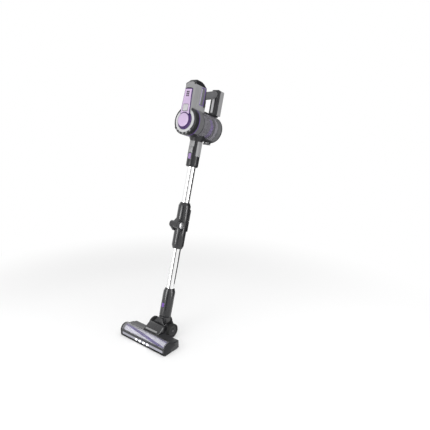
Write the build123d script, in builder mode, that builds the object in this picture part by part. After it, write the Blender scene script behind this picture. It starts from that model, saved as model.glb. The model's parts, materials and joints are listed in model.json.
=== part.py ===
from build123d import *
from math import cos, pi, radians, sin
import os

# Cordless stick vacuum cleaner, standing on its brush head with the wand leaning back.
# Millimetres. +Z is up, the brush head's front faces -Y, +X is to the right seen from the front.
# The origin lies on the floor, mid-width, on the sole's rear land behind the brush opening.

os.makedirs("parts", exist_ok=True)

# ---- Clearances ------------------------------------------------------------------------------
play = 0.4            # between pieces that move past each other
seat = 0.1            # between pieces of one body that nest
running = 0.05        # radial clearance of a pin or shaft in its bore

# ---- Brush head ------------------------------------------------------------------------------
head_width = 265.0
head_depth = 88.0
rear_land = 24.0          # sole behind the brush opening
head_back = rear_land / 2
head_front = head_back - head_depth
roller_radius = 20.8      # to the bristle tips
roller_lift = 0.7         # bristle tips above the floor
bristle_height = 5.0
roller_axis_z = roller_lift + roller_radius
chamber_gap = 2.2         # bristle tips to chamber wall
chamber_radius = roller_radius + chamber_gap
window_wall = 2.1
nose_radius = chamber_radius + seat + window_wall
roller_axis_y = head_front + nose_radius
brush_opening = 34.0      # front to back
end_wall = 9.0            # holds the belt on the left and the bearing on the right
head_wall = 2.6
parting_z = 16.0          # between the lower chassis and the top cover
rear_height = 30.5
crown_angle = 60.0        # where the window ends, measured up from the rear
front_sill = 29.0         # lower edge of the window
window_margin = 6.5       # side frame of the window
rear_corner = 7.5         # flat across the rear corners
bumper_height = 7.0
bumper_thick = 3.0
bumper_z = 1.5
lens_height = 10.5
lens_thick = 1.4
lens_z = 9.2
lamp_width = 9.0
lamp_height = 7.0
lamp_pitch = 22.5
lamp_count = 4
lamp_proud = 0.8

# ---- Head drive ------------------------------------------------------------------------------
head_motor_radius = 11.5
head_motor_length = 62.0
motor_axis_y = head_back - 18.0
motor_axis_z = 15.5
motor_pulley_radius = 5.5
pulley_ratio = 2.2
roller_pulley_radius = motor_pulley_radius * pulley_ratio
belt_width = 4.5
belt_thick = 1.2
roller_core_radius = 14.0
roller_shaft_radius = 3.0
bristle_rows = 4
bristle_turn = 200.0      # degrees that a bristle row winds along the roller
bristle_width = 4.0

# ---- Wheels, tilt axle and yoke --------------------------------------------------------------
axle_behind = 34.25       # axle behind the head's back face
wheel_radius = 30.0
wheel_width = 14.0
wheel_outer_x = 60.6
axle_radius = 3.0
ear_inner_x = 37.4
ear_thick = 8.6
ear_radius = 12.5
yoke_half_width = ear_inner_x - 1.2
yoke_radius = 19.5
swivel_station = 25.0     # swivel pin above the axle, along the wand
swivel_pin_radius = 4.0
tongue_radius = 18.0
tongue_half_depth = 25.2
yoke_plate = 5.4
yoke_plate_radius = 20.0

# ---- Wand ------------------------------------------------------------------------------------
lean = 16.6               # degrees back from upright
tube_radius = 17.0
tube_wall = 1.0
socket_depth = 34.0       # how far a tube goes into its socket
neck_radius = 25.6
neck_bottom = 46.0
neck_top = 170.4
neck_collar = 16.0        # length of the tapered top
collar_radius = 20.0
fold_station = 444.6
fold_bottom = 342.9
fold_top = 541.9
fold_radius = 25.6
fold_upper_radius = 26.2
fold_taper = 14.0
fold_axis_y = -30.0       # hinge axis in front of the wand's axis
knuckle_radius = 14.5
knuckle_half = 14.0       # half the width of the middle knuckle
barrel_half = 29.0
fold_pin_radius = 4.0
fold_cap_radius = 13.6
fold_cap_thick = 2.2
hose_radius = 15.0
hose_length = 66.0
latch_radius = 30.6
latch_bottom = 419.4
latch_top = 463.4
latch_spread = 46.0       # half angle that the latch wraps
inlet_bottom = 694.4
drum_station = 871.2
inlet_radius = 26.0
plate_thick = 1.2

# ---- Handheld unit, measured from the drum's axis --------------------------------------------
drum_radius = 58.0
collar_body_radius = 57.0
cup_radius = 56.4
shell_wall = 2.6
cup_wall = 2.2
drum_front = -91.0
collar_front = -65.9
cup_front = -33.5
cup_ring_front = 60.0
lid_front = 84.5
lid_back = 97.0
ring_radius = 49.0
ring_bore = 37.8
ring_front = -93.5
ring_back = -87.0
lug_count = 6
lug_pitch = 21.0
lug_width = 10.5
cap_radius = ring_bore - play
disc_radius = 30.0
disc_room = disc_radius + 2.0
disc_front = -102.5
column_front = -97.5
column_half = 27.0
column_seam = -65.6
column_top = 172.0
column_arch = 21.0
column_wall = 3.2
cap_seam = 150.0          # lower edge of the dark top cap
cap_edge = 6.5            # width of the top cap around the arch of the front
corner_width = 5.0        # flat on the column's front corners
corner_depth = 6.0
stripe_top = 125.0
stripe_bottom = 25.0
stripe_top_half = 16.5
stripe_bottom_half = 22.0
stripe_border = 3.6
stripe_layer = 2.0
button_size = 26.0
button_centre = 50.0
button_proud = 1.4
button_travel = 0.8
grip_radius = 15.5
grip_slope = 21.0
grip_height = cup_radius + 68.8    # grip axis above the drum's axis, at the wand's axis
post_front = 63.0
post_depth = 9.0
post_half = 17.0
battery_half = 18.0
battery_seam = 81.0       # between the battery's dark front case and its light rear case
battery_back = 108.0
battery_bottom = cup_radius + 9.6
battery_top = battery_bottom + 106.5
battery_wall = 2.0
cell_radius = 7.0
cell_length = 50.0
rail_half = 13.0
rail_top = cup_radius + 5.6
rail_back = 88.0
lid_hinge_y = 93.5
lid_hinge_z = cup_radius + 4.8
lid_pin_radius = 1.5
lid_knuckle_radius = 3.6
trigger_pin_y = -7.0
trigger_pin_z = grip_height - 12.2
trigger_half = 6.5
trigger_pin_radius = 2.0

# ---- Frames ----------------------------------------------------------------------------------
axle_y = head_back + axle_behind
pivot = Vector(0, axle_y, wheel_radius)
up = Vector(0, sin(radians(lean)), cos(radians(lean)))
back = Vector(0, cos(radians(lean)), -sin(radians(lean)))
sideways = Vector(1, 0, 0)
drum_centre = pivot + up * drum_station
drum_axis = Axis(drum_centre, back)
wand_axis = Axis(pivot, up)
axle_axis = Axis(pivot, (1, 0, 0))


def across(station):
    """Plane square to the wand: local x is sideways, local y is backward."""
    return Plane(origin=pivot + up * station, x_dir=sideways, z_dir=up)


def wand_side(x=0.0):
    """Plane square to the width: local x is backward, local y runs up the wand from the axle."""
    return Plane(origin=pivot + sideways * x, x_dir=back, z_dir=sideways)


def unit_side(x=0.0):
    """As wand_side, but measured from the drum's axis."""
    return Plane(origin=drum_centre + sideways * x, x_dir=back, z_dir=sideways)


def unit_front(y):
    """Plane facing forward at a place along the drum's axis: local x sideways, local y up."""
    return Plane(origin=drum_centre + back * y, x_dir=sideways, z_dir=back * -1)


def unit_top(height):
    """Plane square to the wand, measured from the drum's axis."""
    return across(drum_station + height)


def wand_front(y):
    """Plane facing forward on the wand: local x sideways, local y up the wand from the axle."""
    return Plane(origin=pivot + back * y, x_dir=sideways, z_dir=back * -1)


def head_side(x=0.0):
    """Plane square to the width in the head's own frame: local x is +Y, local y is +Z."""
    return Plane(origin=(x, 0, 0), x_dir=(0, 1, 0), z_dir=(1, 0, 0))


def turned(points, plane, axis):
    """A body of revolution from a closed outline of points."""
    with BuildPart() as body:
        with BuildSketch(plane):
            with BuildLine():
                Polyline(*points, close=True)
            make_face()
        revolve(axis=axis)
    return body.part


def drum_turned(*points):
    """Turned about the drum's axis from (along, radius) points."""
    return turned(points, unit_side(), drum_axis)


def wand_turned(*points):
    """Turned about the wand's axis from (radius, station) points."""
    return turned(points, wand_side(), wand_axis)


def block(plane, outline, half_width):
    """A slab of a closed outline, half_width thick each way from its plane."""
    with BuildPart() as slab:
        with BuildSketch(plane):
            with BuildLine():
                Polyline(*outline, close=True)
            make_face()
        extrude(amount=half_width, both=True)
    return slab.part


def save(builder, name):
    """Label a finished piece and write it."""
    builder.part.label = name
    export_step(builder.part, f"parts/{name}.step")


# ==== Brush head ==============================================================================
half_head = head_width / 2
chamber_half = half_head - end_wall - 3.0
window_half = half_head - window_margin
crown_y = roller_axis_y + nose_radius * cos(radians(crown_angle))
crown_z = roller_axis_z + nose_radius * sin(radians(crown_angle))


def head_form(half_width):
    """The closed outer form of the brush head: a round nose over the roller, sloping to the back."""
    with BuildPart() as form:
        with BuildSketch(head_side()):
            with BuildLine():
                ThreePointArc(
                    (head_front, roller_axis_z),
                    (roller_axis_y - nose_radius * sin(pi / 4), roller_axis_z + nose_radius * sin(pi / 4)),
                    (crown_y, crown_z),
                )
                Polyline(
                    (crown_y, crown_z),
                    (crown_y + 11, crown_z - 6.5),
                    (head_back - 3, rear_height),
                    (head_back, rear_height - 3),
                    (head_back, 3),
                    (head_back - 2, 0),
                    (head_front + 1.5, 0),
                    (head_front, 1.5),
                    (head_front, roller_axis_z),
                )
            make_face()
        extrude(amount=half_width, both=True)
        with BuildSketch(Plane.XY.offset(-1)):
            with BuildLine():
                Polyline(
                    (-half_width - 1, head_front - 1),
                    (-half_width - 1, head_back - rear_corner - 1),
                    (-half_width + rear_corner + 1, head_back + 1),
                    (half_width - rear_corner - 1, head_back + 1),
                    (half_width + 1, head_back - rear_corner - 1),
                    (half_width + 1, head_front - 1),
                    close=True,
                )
            make_face()
        extrude(amount=crown_z + 5, mode=Mode.INTERSECT)
        chamfer(form.faces().sort_by(Axis.X)[0].edges(), 2.0)
        chamfer(form.faces().sort_by(Axis.X)[-1].edges(), 2.0)
    return form.part


def head_slab(outline, x_low, x_high):
    """A slab across the head: a closed outline of (y, z) points between two places in x."""
    with BuildPart() as slab:
        with BuildSketch(head_side(x_low)):
            with BuildLine():
                Polyline(*outline, close=True)
            make_face()
        extrude(amount=x_high - x_low)
    return slab.part


def x_rod(radius, x_low, x_high, y, z):
    """A round bar along X."""
    with BuildPart() as rod:
        with BuildSketch(head_side(x_low)):
            with Locations((y, z)):
                Circle(radius)
        extrude(amount=x_high - x_low)
    return rod.part


ear_shoulder_z = rear_height - 2 - seat


def ear(x):
    """An arm from the chassis back to the tilt axle, with the axle's boss."""
    with BuildPart() as arm:
        with BuildSketch(head_side(x)):
            with BuildLine():
                Polyline(
                    (head_back - 6, 3),
                    (head_back - 6, parting_z),
                    (head_back + play, parting_z),
                    (head_back + play, ear_shoulder_z),
                    (head_back + 4, ear_shoulder_z),
                    (axle_y - 4, wheel_radius + ear_radius - 1),
                    (axle_y, wheel_radius),
                    (axle_y - 2, wheel_radius - ear_radius + 1),
                    (head_back + 8, 6),
                    close=True,
                )
            make_face()
            with Locations((axle_y, wheel_radius)):
                Circle(ear_radius)
            with Locations((axle_y, wheel_radius)):
                Circle(axle_radius + running, mode=Mode.SUBTRACT)
        extrude(amount=ear_thick)
    return arm.part


head_outer = head_form(half_head)
low_z = -1
cheek_end = half_head - head_wall
room_front = roller_axis_y + chamber_radius + 2.4
room_half = half_head - 14
base_zone = head_slab(
    [
        (head_front - 9, low_z),
        (head_front - 9, front_sill - seat),
        (roller_axis_y, front_sill - seat),
        (roller_axis_y, parting_z),
        (head_back + 9, parting_z),
        (head_back + 9, low_z),
    ],
    -half_head,
    half_head,
)
chamber = x_rod(chamber_radius, -chamber_half, chamber_half, roller_axis_y, roller_axis_z)
brush_slot = head_slab(
    [
        (roller_axis_y - brush_opening / 2, low_z),
        (roller_axis_y - brush_opening / 2, roller_axis_z),
        (roller_axis_y + brush_opening / 2, roller_axis_z),
        (roller_axis_y + brush_opening / 2, low_z),
    ],
    -chamber_half,
    chamber_half,
)
rear_room = head_slab(
    [
        (room_front, head_wall),
        (room_front, rear_height + 1.5),
        (head_back - 6, rear_height - 2.6),
        (head_back - head_wall, rear_height - 5),
        (head_back - head_wall, head_wall),
    ],
    -room_half,
    room_half,
)
cheeks = [
    x_rod(chamber_radius, chamber_half, cheek_end, roller_axis_y, roller_axis_z),
    x_rod(chamber_radius, -cheek_end, -chamber_half, roller_axis_y, roller_axis_z),
]
cheek_room = x_rod(chamber_radius + seat, -cheek_end - seat, cheek_end + seat, roller_axis_y, roller_axis_z)
belt_reach = belt_thick + play + 1.6
with BuildPart() as belt_room:
    with BuildSketch(head_side(-cheek_end)):
        with Locations((roller_axis_y, roller_axis_z)):
            Circle(roller_pulley_radius + belt_reach)
        with Locations((motor_axis_y, motor_axis_z)):
            Circle(motor_pulley_radius + belt_reach)
        make_hull()
    extrude(amount=belt_width + 1.4)
bearing_hole = x_rod(
    roller_shaft_radius + running, -cheek_end + belt_width, cheek_end - 3, roller_axis_y, roller_axis_z
)
motor_tunnel = x_rod(2.6, -cheek_end + 2, -room_half, motor_axis_y, motor_axis_z)
lens_recess = head_slab(
    [
        (head_front - 1, lens_z - seat),
        (head_front - 1, lens_z + lens_height + seat),
        (head_front + 0.6, lens_z + lens_height + seat),
        (head_front + 0.6, lens_z - seat),
    ],
    -chamber_half,
    chamber_half,
)

# Lower chassis: sole, front beam, roller cheeks, motor tray and the tilt axle's ears.
ears = [ear(ear_inner_x), ear(-ear_inner_x - ear_thick)]
with BuildPart() as head_base:
    add(head_outer)
    add(base_zone, mode=Mode.INTERSECT)
    add(cheeks)
    add(chamber, mode=Mode.SUBTRACT)
    add(brush_slot, mode=Mode.SUBTRACT)
    add(rear_room, mode=Mode.SUBTRACT)
    add(belt_room.part, mode=Mode.SUBTRACT)
    add(bearing_hole, mode=Mode.SUBTRACT)
    add(motor_tunnel, mode=Mode.SUBTRACT)
    add(lens_recess, mode=Mode.SUBTRACT)
    add(ears)
save(head_base, "head_base")

crown_low = chamber_radius - 3
crown_high = nose_radius + 4
crown_ray_y = cos(radians(crown_angle))
crown_ray_z = sin(radians(crown_angle))


def window_zone(half_width, ease):
    """The sector of the nose that is clear, drawn larger by ease all round."""
    outline = [
        (roller_axis_y + crown_low * crown_ray_y + ease, roller_axis_z + crown_low * crown_ray_z),
        (roller_axis_y + crown_high * crown_ray_y + ease, roller_axis_z + crown_high * crown_ray_z),
        (roller_axis_y, roller_axis_z + nose_radius + 8),
        (head_front - 6, roller_axis_z + nose_radius),
        (head_front - 6, front_sill - ease),
        (roller_axis_y - 10, front_sill - ease),
    ]
    return head_slab(outline, -half_width, half_width)


window_cut = window_zone(window_half, 0)
window_form = window_zone(window_half - seat, -seat)
nose = x_rod(nose_radius, -window_half, window_half, roller_axis_y, roller_axis_z)

# Top cover: the rear deck and the frame at each end of the window.
with BuildPart() as head_cover:
    add(head_outer)
    add(base_zone, mode=Mode.SUBTRACT)
    add(window_cut, mode=Mode.SUBTRACT)
    add(cheek_room, mode=Mode.SUBTRACT)
    add(rear_room, mode=Mode.SUBTRACT)
    add(belt_room.part, mode=Mode.SUBTRACT)
    add(motor_tunnel, mode=Mode.SUBTRACT)
save(head_cover, "head_cover")

# Clear window over the roller.
with BuildPart() as front_window:
    add(nose)
    add(window_form, mode=Mode.INTERSECT)
    add(cheek_room, mode=Mode.SUBTRACT)
save(front_window, "front_window")

# Raised centre cover that hides the motor and the tilt joint's front.
block_half = 44.0
block_front = head_back - 41.0
block_back = axle_y - yoke_plate - tongue_half_depth - 1.2
block_top = 61.0
with BuildPart() as center_cover:
    with BuildSketch(head_side()):
        with BuildLine():
            Polyline(
                (block_front, rear_height),
                (block_front, crown_z - 4),
                (block_front + 3, crown_z - 1),
                (block_front + 12, crown_z + 3),
                (block_back - 10, block_top - 1),
                (block_back - 3, block_top),
                (block_back, block_top - 3),
                (block_back, rear_height - 2),
                close=True,
            )
        make_face()
    extrude(amount=block_half, both=True)
    for side in (0, -1):
        side_edges = center_cover.edges().filter_by(Axis.X, reverse=True).group_by(Axis.X)[side]
        slanted = side_edges.filter_by(Axis.Z, reverse=True)
        chamfer(slanted.filter_by_position(Axis.Z, crown_z, block_top, (False, True)), 5.0)
    add(head_outer, mode=Mode.SUBTRACT)
save(center_cover, "center_cover")

# Rubber bumper along the foot of the front.
with BuildPart() as bumper:
    with BuildSketch(Plane.XY.offset(bumper_z)):
        with BuildLine():
            Polyline(
                (-half_head + 3, head_front),
                (-half_head + 5, head_front - bumper_thick + 0.8),
                (-half_head + 7, head_front - bumper_thick),
                (half_head - 7, head_front - bumper_thick),
                (half_head - 5, head_front - bumper_thick + 0.8),
                (half_head - 3, head_front),
                close=True,
            )
        make_face()
    extrude(amount=bumper_height)
    chamfer(bumper.faces().sort_by(Axis.Y)[0].edges().filter_by(Axis.X), 0.9)
save(bumper, "bumper")

# Light strip on the front beam, with the lamps set into it.
lens_front = head_front - lens_thick + 0.6
lamp_z = lens_z + lens_height / 2
with BuildPart() as led_lamps:
    with BuildSketch(Plane.XZ.offset(-lens_front + lamp_proud)):
        with Locations((0, lamp_z)):
            with GridLocations(lamp_pitch, 0, lamp_count, 1):
                RectangleRounded(lamp_width, lamp_height, 2.5)
    extrude(amount=-lamp_proud - lens_thick + 0.4)
save(led_lamps, "led_lamps")

with BuildPart() as led_strip:
    with BuildSketch(Plane.XZ.offset(-lens_front)):
        with Locations((0, lamp_z)):
            RectangleRounded(2 * chamber_half - 2, lens_height, 2)
    extrude(amount=-lens_thick)
    with BuildSketch(Plane.XZ.offset(-lens_front)):
        with Locations((0, lamp_z)):
            with GridLocations(lamp_pitch, 0, lamp_count, 1):
                RectangleRounded(lamp_width + 2 * seat, lamp_height + 2 * seat, 2.5)
    extrude(amount=-lens_thick + 0.4, mode=Mode.SUBTRACT)
save(led_strip, "led_strip")

# Brush motor in the rear room, with its output pulley and the belt in the left end.
motor_end_x = -room_half + 6
with BuildPart() as head_motor:
    with BuildSketch(head_side(motor_end_x)):
        with Locations((motor_axis_y, motor_axis_z)):
            Circle(head_motor_radius)
    extrude(amount=head_motor_length)
    with BuildSketch(head_side(motor_end_x)):
        with Locations((motor_axis_y, motor_axis_z)):
            Circle(4.5)
    extrude(amount=-5.5)
    chamfer(head_motor.faces().sort_by(Axis.X)[-1].edges(), 1.5)
    with BuildSketch(head_side(motor_end_x - 6)):
        with Locations((motor_axis_y, motor_axis_z)):
            Circle(1.5 + running)
    extrude(amount=12, mode=Mode.SUBTRACT)
    with BuildSketch(Plane.XY.offset(head_wall)):
        with Locations((motor_end_x + head_motor_length / 2, motor_axis_y)):
            Rectangle(head_motor_length - 16, 12)
    extrude(amount=motor_axis_z - head_motor_radius)
save(head_motor, "head_motor")

pulley_x = -cheek_end + 0.5
with BuildPart() as motor_pulley:
    with BuildSketch(head_side(pulley_x)):
        with Locations((motor_axis_y, motor_axis_z)):
            Circle(motor_pulley_radius)
    extrude(amount=belt_width)
    with BuildSketch(head_side(pulley_x + 0.2)):
        with Locations((motor_axis_y, motor_axis_z)):
            Circle(1.5)
    extrude(amount=motor_end_x + 5 - pulley_x)
save(motor_pulley, "motor_pulley")

with BuildPart() as drive_belt:
    for growth, mode in ((belt_thick, Mode.ADD), (0, Mode.SUBTRACT)):
        with BuildSketch(head_side(pulley_x)):
            with Locations((roller_axis_y, roller_axis_z)):
                Circle(roller_pulley_radius + play + growth)
            with Locations((motor_axis_y, motor_axis_z)):
                Circle(motor_pulley_radius + play + growth)
            make_hull()
        extrude(amount=belt_width, mode=mode)
save(drive_belt, "drive_belt")

# Brush roller: core with its shaft ends and pulley, and the wound bristle rows.
core_half = chamber_half - 1.2
with BuildPart() as roller_core:
    for radius, x_low, x_high in (
        (roller_core_radius, -core_half, core_half),
        (roller_shaft_radius, pulley_x, cheek_end - 3.5),
        (roller_pulley_radius, pulley_x, pulley_x + belt_width),
    ):
        with BuildSketch(head_side(x_low)):
            with Locations((roller_axis_y, roller_axis_z)):
                Circle(radius)
        extrude(amount=x_high - x_low)
save(roller_core, "roller_core")

bristle_half = core_half - 2
bristle_stations = 9


def bristle_row(start):
    """One row of bristles, wound along the roller from a starting angle."""
    with BuildPart() as row:
        for i in range(bristle_stations):
            share = i / (bristle_stations - 1)
            angle = start + bristle_turn * share
            place = Plane(
                origin=(bristle_half * (2 * share - 1), roller_axis_y, roller_axis_z),
                x_dir=(0, cos(radians(angle)), sin(radians(angle))),
                z_dir=(1, 0, 0),
            )
            with BuildSketch(place):
                with Locations((roller_core_radius + bristle_height / 2 + seat, 0)):
                    Rectangle(roller_radius - roller_core_radius - 2 * seat, bristle_width)
        loft()
    return row.part


rows = [bristle_row(360 * k / bristle_rows) for k in range(bristle_rows)]
core_space = x_rod(roller_core_radius + seat / 2, -half_head, half_head, roller_axis_y, roller_axis_z)
with BuildPart() as roller_bristles:
    add(rows)
    add(core_space, mode=Mode.SUBTRACT)
save(roller_bristles, "roller_bristles")

# ==== Tilt joint ==============================================================================
with BuildPart() as wheel_axle:
    with BuildSketch(head_side(-wheel_outer_x + 3)):
        with Locations((axle_y, wheel_radius)):
            Circle(axle_radius)
    extrude(amount=2 * (wheel_outer_x - 3))
    for x, thick in ((-wheel_outer_x + 3, -1.6), (wheel_outer_x - 3, 1.6)):
        with BuildSketch(head_side(x)):
            with Locations((axle_y, wheel_radius)):
                Circle(2 * axle_radius)
        extrude(amount=thick)
save(wheel_axle, "wheel_axle")


def wheel(inner, outer):
    """A rear wheel between two places in x: tread, web and hub, turned about the axle."""
    toward = 1 if outer > inner else -1
    bore = axle_radius + running
    outline = [
        (bore, inner + toward * 1.0),
        (9, inner + toward * 1.0),
        (9, inner + toward * 7.6),
        (wheel_radius - 6.5, inner + toward * 7.6),
        (wheel_radius - 5.5, inner),
        (wheel_radius - 3, inner),
        (wheel_radius - 0.8, inner + toward * 1.2),
        (wheel_radius, inner + toward * 4),
        (wheel_radius, outer - toward * 5),
        (wheel_radius - 1.2, outer - toward * 1.8),
        (wheel_radius - 4.0, outer),
        (wheel_radius - 6.5, outer),
        (wheel_radius - 9.0, outer - toward * 3.2),
        (13, outer - toward * 3.2),
        (11, outer - toward * 0.4),
        (7, outer - toward * 0.4),
        (7, outer - toward * (3 + play)),
        (bore, outer - toward * (3 + play)),
    ]
    with BuildPart() as disc:
        with BuildSketch(Plane(origin=pivot, x_dir=(0, 0, 1), z_dir=(0, -1, 0))):
            with BuildLine():
                Polyline(*outline, close=True)
            make_face()
        revolve(axis=axle_axis)
    return disc.part


with BuildPart() as wheel_right:
    add(wheel(wheel_outer_x - wheel_width, wheel_outer_x))
save(wheel_right, "wheel_right")

with BuildPart() as wheel_left:
    add(wheel(-wheel_outer_x + wheel_width, -wheel_outer_x))
save(wheel_left, "wheel_left")

# Yoke: turns on the axle and carries the swivel pin in a front and a rear plate.
plate_inner = tongue_half_depth + play
plate_outer = plate_inner + yoke_plate
cheek_inner = 26.0
with BuildPart() as yoke:
    for near in (plate_inner, -plate_outer):
        with BuildSketch(wand_front(near)):
            with BuildLine():
                Polyline(
                    (-yoke_half_width, -3),
                    (-yoke_half_width, 12),
                    (-yoke_plate_radius, swivel_station + 4),
                    (yoke_plate_radius, swivel_station + 4),
                    (yoke_half_width, 12),
                    (yoke_half_width, -3),
                    close=True,
                )
            make_face()
            with Locations((0, swivel_station)):
                Circle(yoke_plate_radius)
        extrude(amount=-yoke_plate)
    for x in (cheek_inner, -yoke_half_width):
        with BuildSketch(wand_side(x)):
            Circle(yoke_radius)
            with Locations((0, 4.5)):
                Rectangle(2 * plate_outer, 15)
        extrude(amount=yoke_half_width - cheek_inner)
    with BuildSketch(wand_side(-yoke_half_width)):
        Circle(axle_radius + running)
    extrude(amount=2 * yoke_half_width, mode=Mode.SUBTRACT)
    with BuildSketch(wand_front(plate_outer)):
        with Locations((0, swivel_station)):
            Circle(swivel_pin_radius + running)
    extrude(amount=2 * plate_outer, mode=Mode.SUBTRACT)
save(yoke, "yoke")

with BuildPart() as swivel_pin:
    with BuildSketch(wand_front(plate_outer)):
        with Locations((0, swivel_station)):
            Circle(swivel_pin_radius)
    extrude(amount=2 * plate_outer)
    with BuildSketch(wand_front(-plate_outer)):
        with Locations((0, swivel_station)):
            Circle(2 * swivel_pin_radius)
    extrude(amount=0.4, taper=20)
save(swivel_pin, "swivel_pin")

# ==== Wand ====================================================================================
tube_bore = tube_radius + seat
neck_button_station = 97.4
neck_button_size = (11.0, 18.0)
press_travel = 2.5
button_seat = tube_bore + 1.0


def press_button(y_face, station, size, depth):
    """A sprung button on the wand's front: a rounded block reaching back from its face."""
    with BuildPart() as piece:
        with BuildSketch(wand_front(y_face)):
            with Locations((0, station)):
                RectangleRounded(size[0], size[1], 2.4)
        extrude(amount=-depth)
        chamfer(piece.faces().sort_by(wand_button_axis)[0].edges(), 0.7)
    return piece.part


wand_button_axis = Axis(pivot, back)
neck_front = -neck_radius - 1.6
neck_button_depth = neck_radius + 1.6 - button_seat - play - press_travel
with BuildPart() as neck_button:
    add(press_button(neck_front, neck_button_station, neck_button_size, neck_button_depth))
save(neck_button, "neck_button")

neck_pocket = press_button(
    neck_front - 2,
    neck_button_station,
    (neck_button_size[0] + 2 * play, neck_button_size[1] + 2 * play),
    neck_button_depth + press_travel + play + 2,
)
neck_tube = wand_turned(
    (0, neck_bottom),
    (neck_radius - 3.6, neck_bottom),
    (neck_radius, neck_bottom + 5),
    (neck_radius, neck_top - neck_collar),
    (collar_radius, neck_top),
    (tube_bore, neck_top),
    (tube_bore, neck_top - socket_depth),
    (14, neck_top - socket_depth),
    (14, neck_bottom + 16),
    (0, neck_bottom + 16),
)
tongue_limit = wand_turned(
    (0, 0), (neck_radius - seat, 0), (neck_radius - seat, neck_bottom + 1), (0, neck_bottom + 1)
)
with BuildPart() as tongue:
    with BuildSketch(wand_front(tongue_half_depth)):
        with Locations((0, swivel_station)):
            Circle(tongue_radius)
        with Locations((0, (swivel_station + neck_bottom + 1) / 2)):
            Rectangle(2 * tongue_radius, neck_bottom + 1 - swivel_station)
    extrude(amount=2 * tongue_half_depth)
    add(tongue_limit, mode=Mode.INTERSECT)

# Neck: swivels on its tongue and takes the lower tube in its top.
with BuildPart() as neck_socket:
    add(neck_tube)
    add(tongue.part)
    add(neck_pocket, mode=Mode.SUBTRACT)
    with BuildSketch(wand_front(plate_outer)):
        with Locations((0, swivel_station)):
            Circle(swivel_pin_radius + running)
    extrude(amount=2 * plate_outer, mode=Mode.SUBTRACT)
save(neck_socket, "neck_socket")

lower_tube_bottom = neck_top - socket_depth + seat
lower_tube_top = fold_bottom + socket_depth - seat
upper_tube_bottom = fold_top - socket_depth + seat
inlet_socket = 43.0
upper_tube_top = inlet_bottom + inlet_socket - seat


def tube(bottom, top):
    """A thin aluminium tube between two stations of the wand."""
    return wand_turned(
        (tube_radius - tube_wall, bottom),
        (tube_radius, bottom),
        (tube_radius, top),
        (tube_radius - tube_wall, top),
    )


with BuildPart() as lower_tube:
    add(tube(lower_tube_bottom, lower_tube_top))
save(lower_tube, "lower_tube")

with BuildPart() as upper_tube:
    add(tube(upper_tube_bottom, upper_tube_top))
save(upper_tube, "upper_tube")

# Folding joint: two housings hinged in front, held shut by the latch at the back.
fold_gap = 0.15
hose_bore = hose_radius + 0.3
hinge_point = (fold_axis_y, fold_station)


def knuckle_rod(radius, x_low, x_high):
    """A bar along the fold hinge's axis."""
    with BuildPart() as rod:
        with BuildSketch(wand_side(x_low)):
            with Locations(hinge_point):
                Circle(radius)
        extrude(amount=x_high - x_low)
    return rod.part


def knuckle_web(rise, x_low, x_high):
    """The shoulder that ties a knuckle to its housing, above or below the hinge."""
    with BuildPart() as web:
        with BuildSketch(wand_side(x_low)):
            with BuildLine():
                Polyline(
                    (fold_axis_y - knuckle_radius, fold_station),
                    (fold_axis_y - knuckle_radius + 2, fold_station + rise * 10),
                    (-fold_radius + 1, fold_station + rise * 27),
                    (-hose_bore + 4, fold_station + rise * 27),
                    (-hose_bore + 4, fold_station + rise * fold_gap),
                    (fold_axis_y, fold_station),
                    close=True,
                )
            make_face()
        extrude(amount=x_high - x_low)
    return web.part


duct = wand_turned((0, fold_bottom), (hose_bore, fold_bottom), (hose_bore, fold_top), (0, fold_top))
middle_room = knuckle_rod(knuckle_radius + play, -knuckle_half - play, knuckle_half + play)
side_rooms = [
    knuckle_rod(knuckle_radius + play, knuckle_half, barrel_half + play),
    knuckle_rod(knuckle_radius + play, -barrel_half - play, -knuckle_half),
]
lower_shell = wand_turned(
    (hose_bore, fold_station - fold_gap),
    (fold_radius, fold_station - fold_gap),
    (fold_radius, fold_bottom + fold_taper),
    (collar_radius, fold_bottom),
    (tube_bore, fold_bottom),
    (tube_bore, fold_bottom + socket_depth),
    (hose_bore, fold_bottom + socket_depth),
)
outer_knuckles = [
    knuckle_rod(knuckle_radius, knuckle_half + play, barrel_half),
    knuckle_rod(knuckle_radius, -barrel_half, -knuckle_half - play),
]
outer_webs = [
    knuckle_web(-1, knuckle_half + play, barrel_half - 4),
    knuckle_web(-1, -barrel_half + 4, -knuckle_half - play),
]
with BuildPart() as fold_lower_housing:
    add(lower_shell)
    add(middle_room, mode=Mode.SUBTRACT)
    add(outer_knuckles)
    add(outer_webs)
    add(duct, mode=Mode.SUBTRACT)
    add(knuckle_rod(fold_pin_radius, -barrel_half, barrel_half), mode=Mode.SUBTRACT)
save(fold_lower_housing, "fold_lower_housing")

bulge_bottom = latch_top + 1.2
bulge_top = fold_top - 27.5
latch_pin_y = 27.2
latch_pin_station = latch_top + 5.0
latch_pin_radius = 1.5
latch_tongue_half = 8.0
upper_shell = wand_turned(
    (hose_bore, fold_station + fold_gap),
    (fold_upper_radius, fold_station + fold_gap),
    (fold_upper_radius, fold_top - fold_taper),
    (collar_radius, fold_top),
    (tube_bore, fold_top),
    (tube_bore, fold_top - socket_depth),
    (hose_bore, fold_top - socket_depth),
)


def rear_sector(inner, outer, bottom, top, half_angle):
    """The rear part of a ring about the wand, wrapping half_angle each way from straight back."""
    ring = wand_turned(
        (inner, bottom),
        (outer - 1.2, bottom),
        (outer, bottom + 2),
        (outer, top - 2),
        (outer - 1.2, top),
        (inner, top),
    )
    reach = 60.0
    with BuildPart() as wedge:
        with BuildSketch(across(bottom - 1)):
            with BuildLine():
                Polyline(
                    (0, 0),
                    (reach * sin(radians(half_angle)), reach * cos(radians(half_angle))),
                    (0, 1.5 * reach),
                    (-reach * sin(radians(half_angle)), reach * cos(radians(half_angle))),
                    close=True,
                )
            make_face()
        extrude(amount=top - bottom + 2)
    return ring.intersect(wedge.part)


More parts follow.
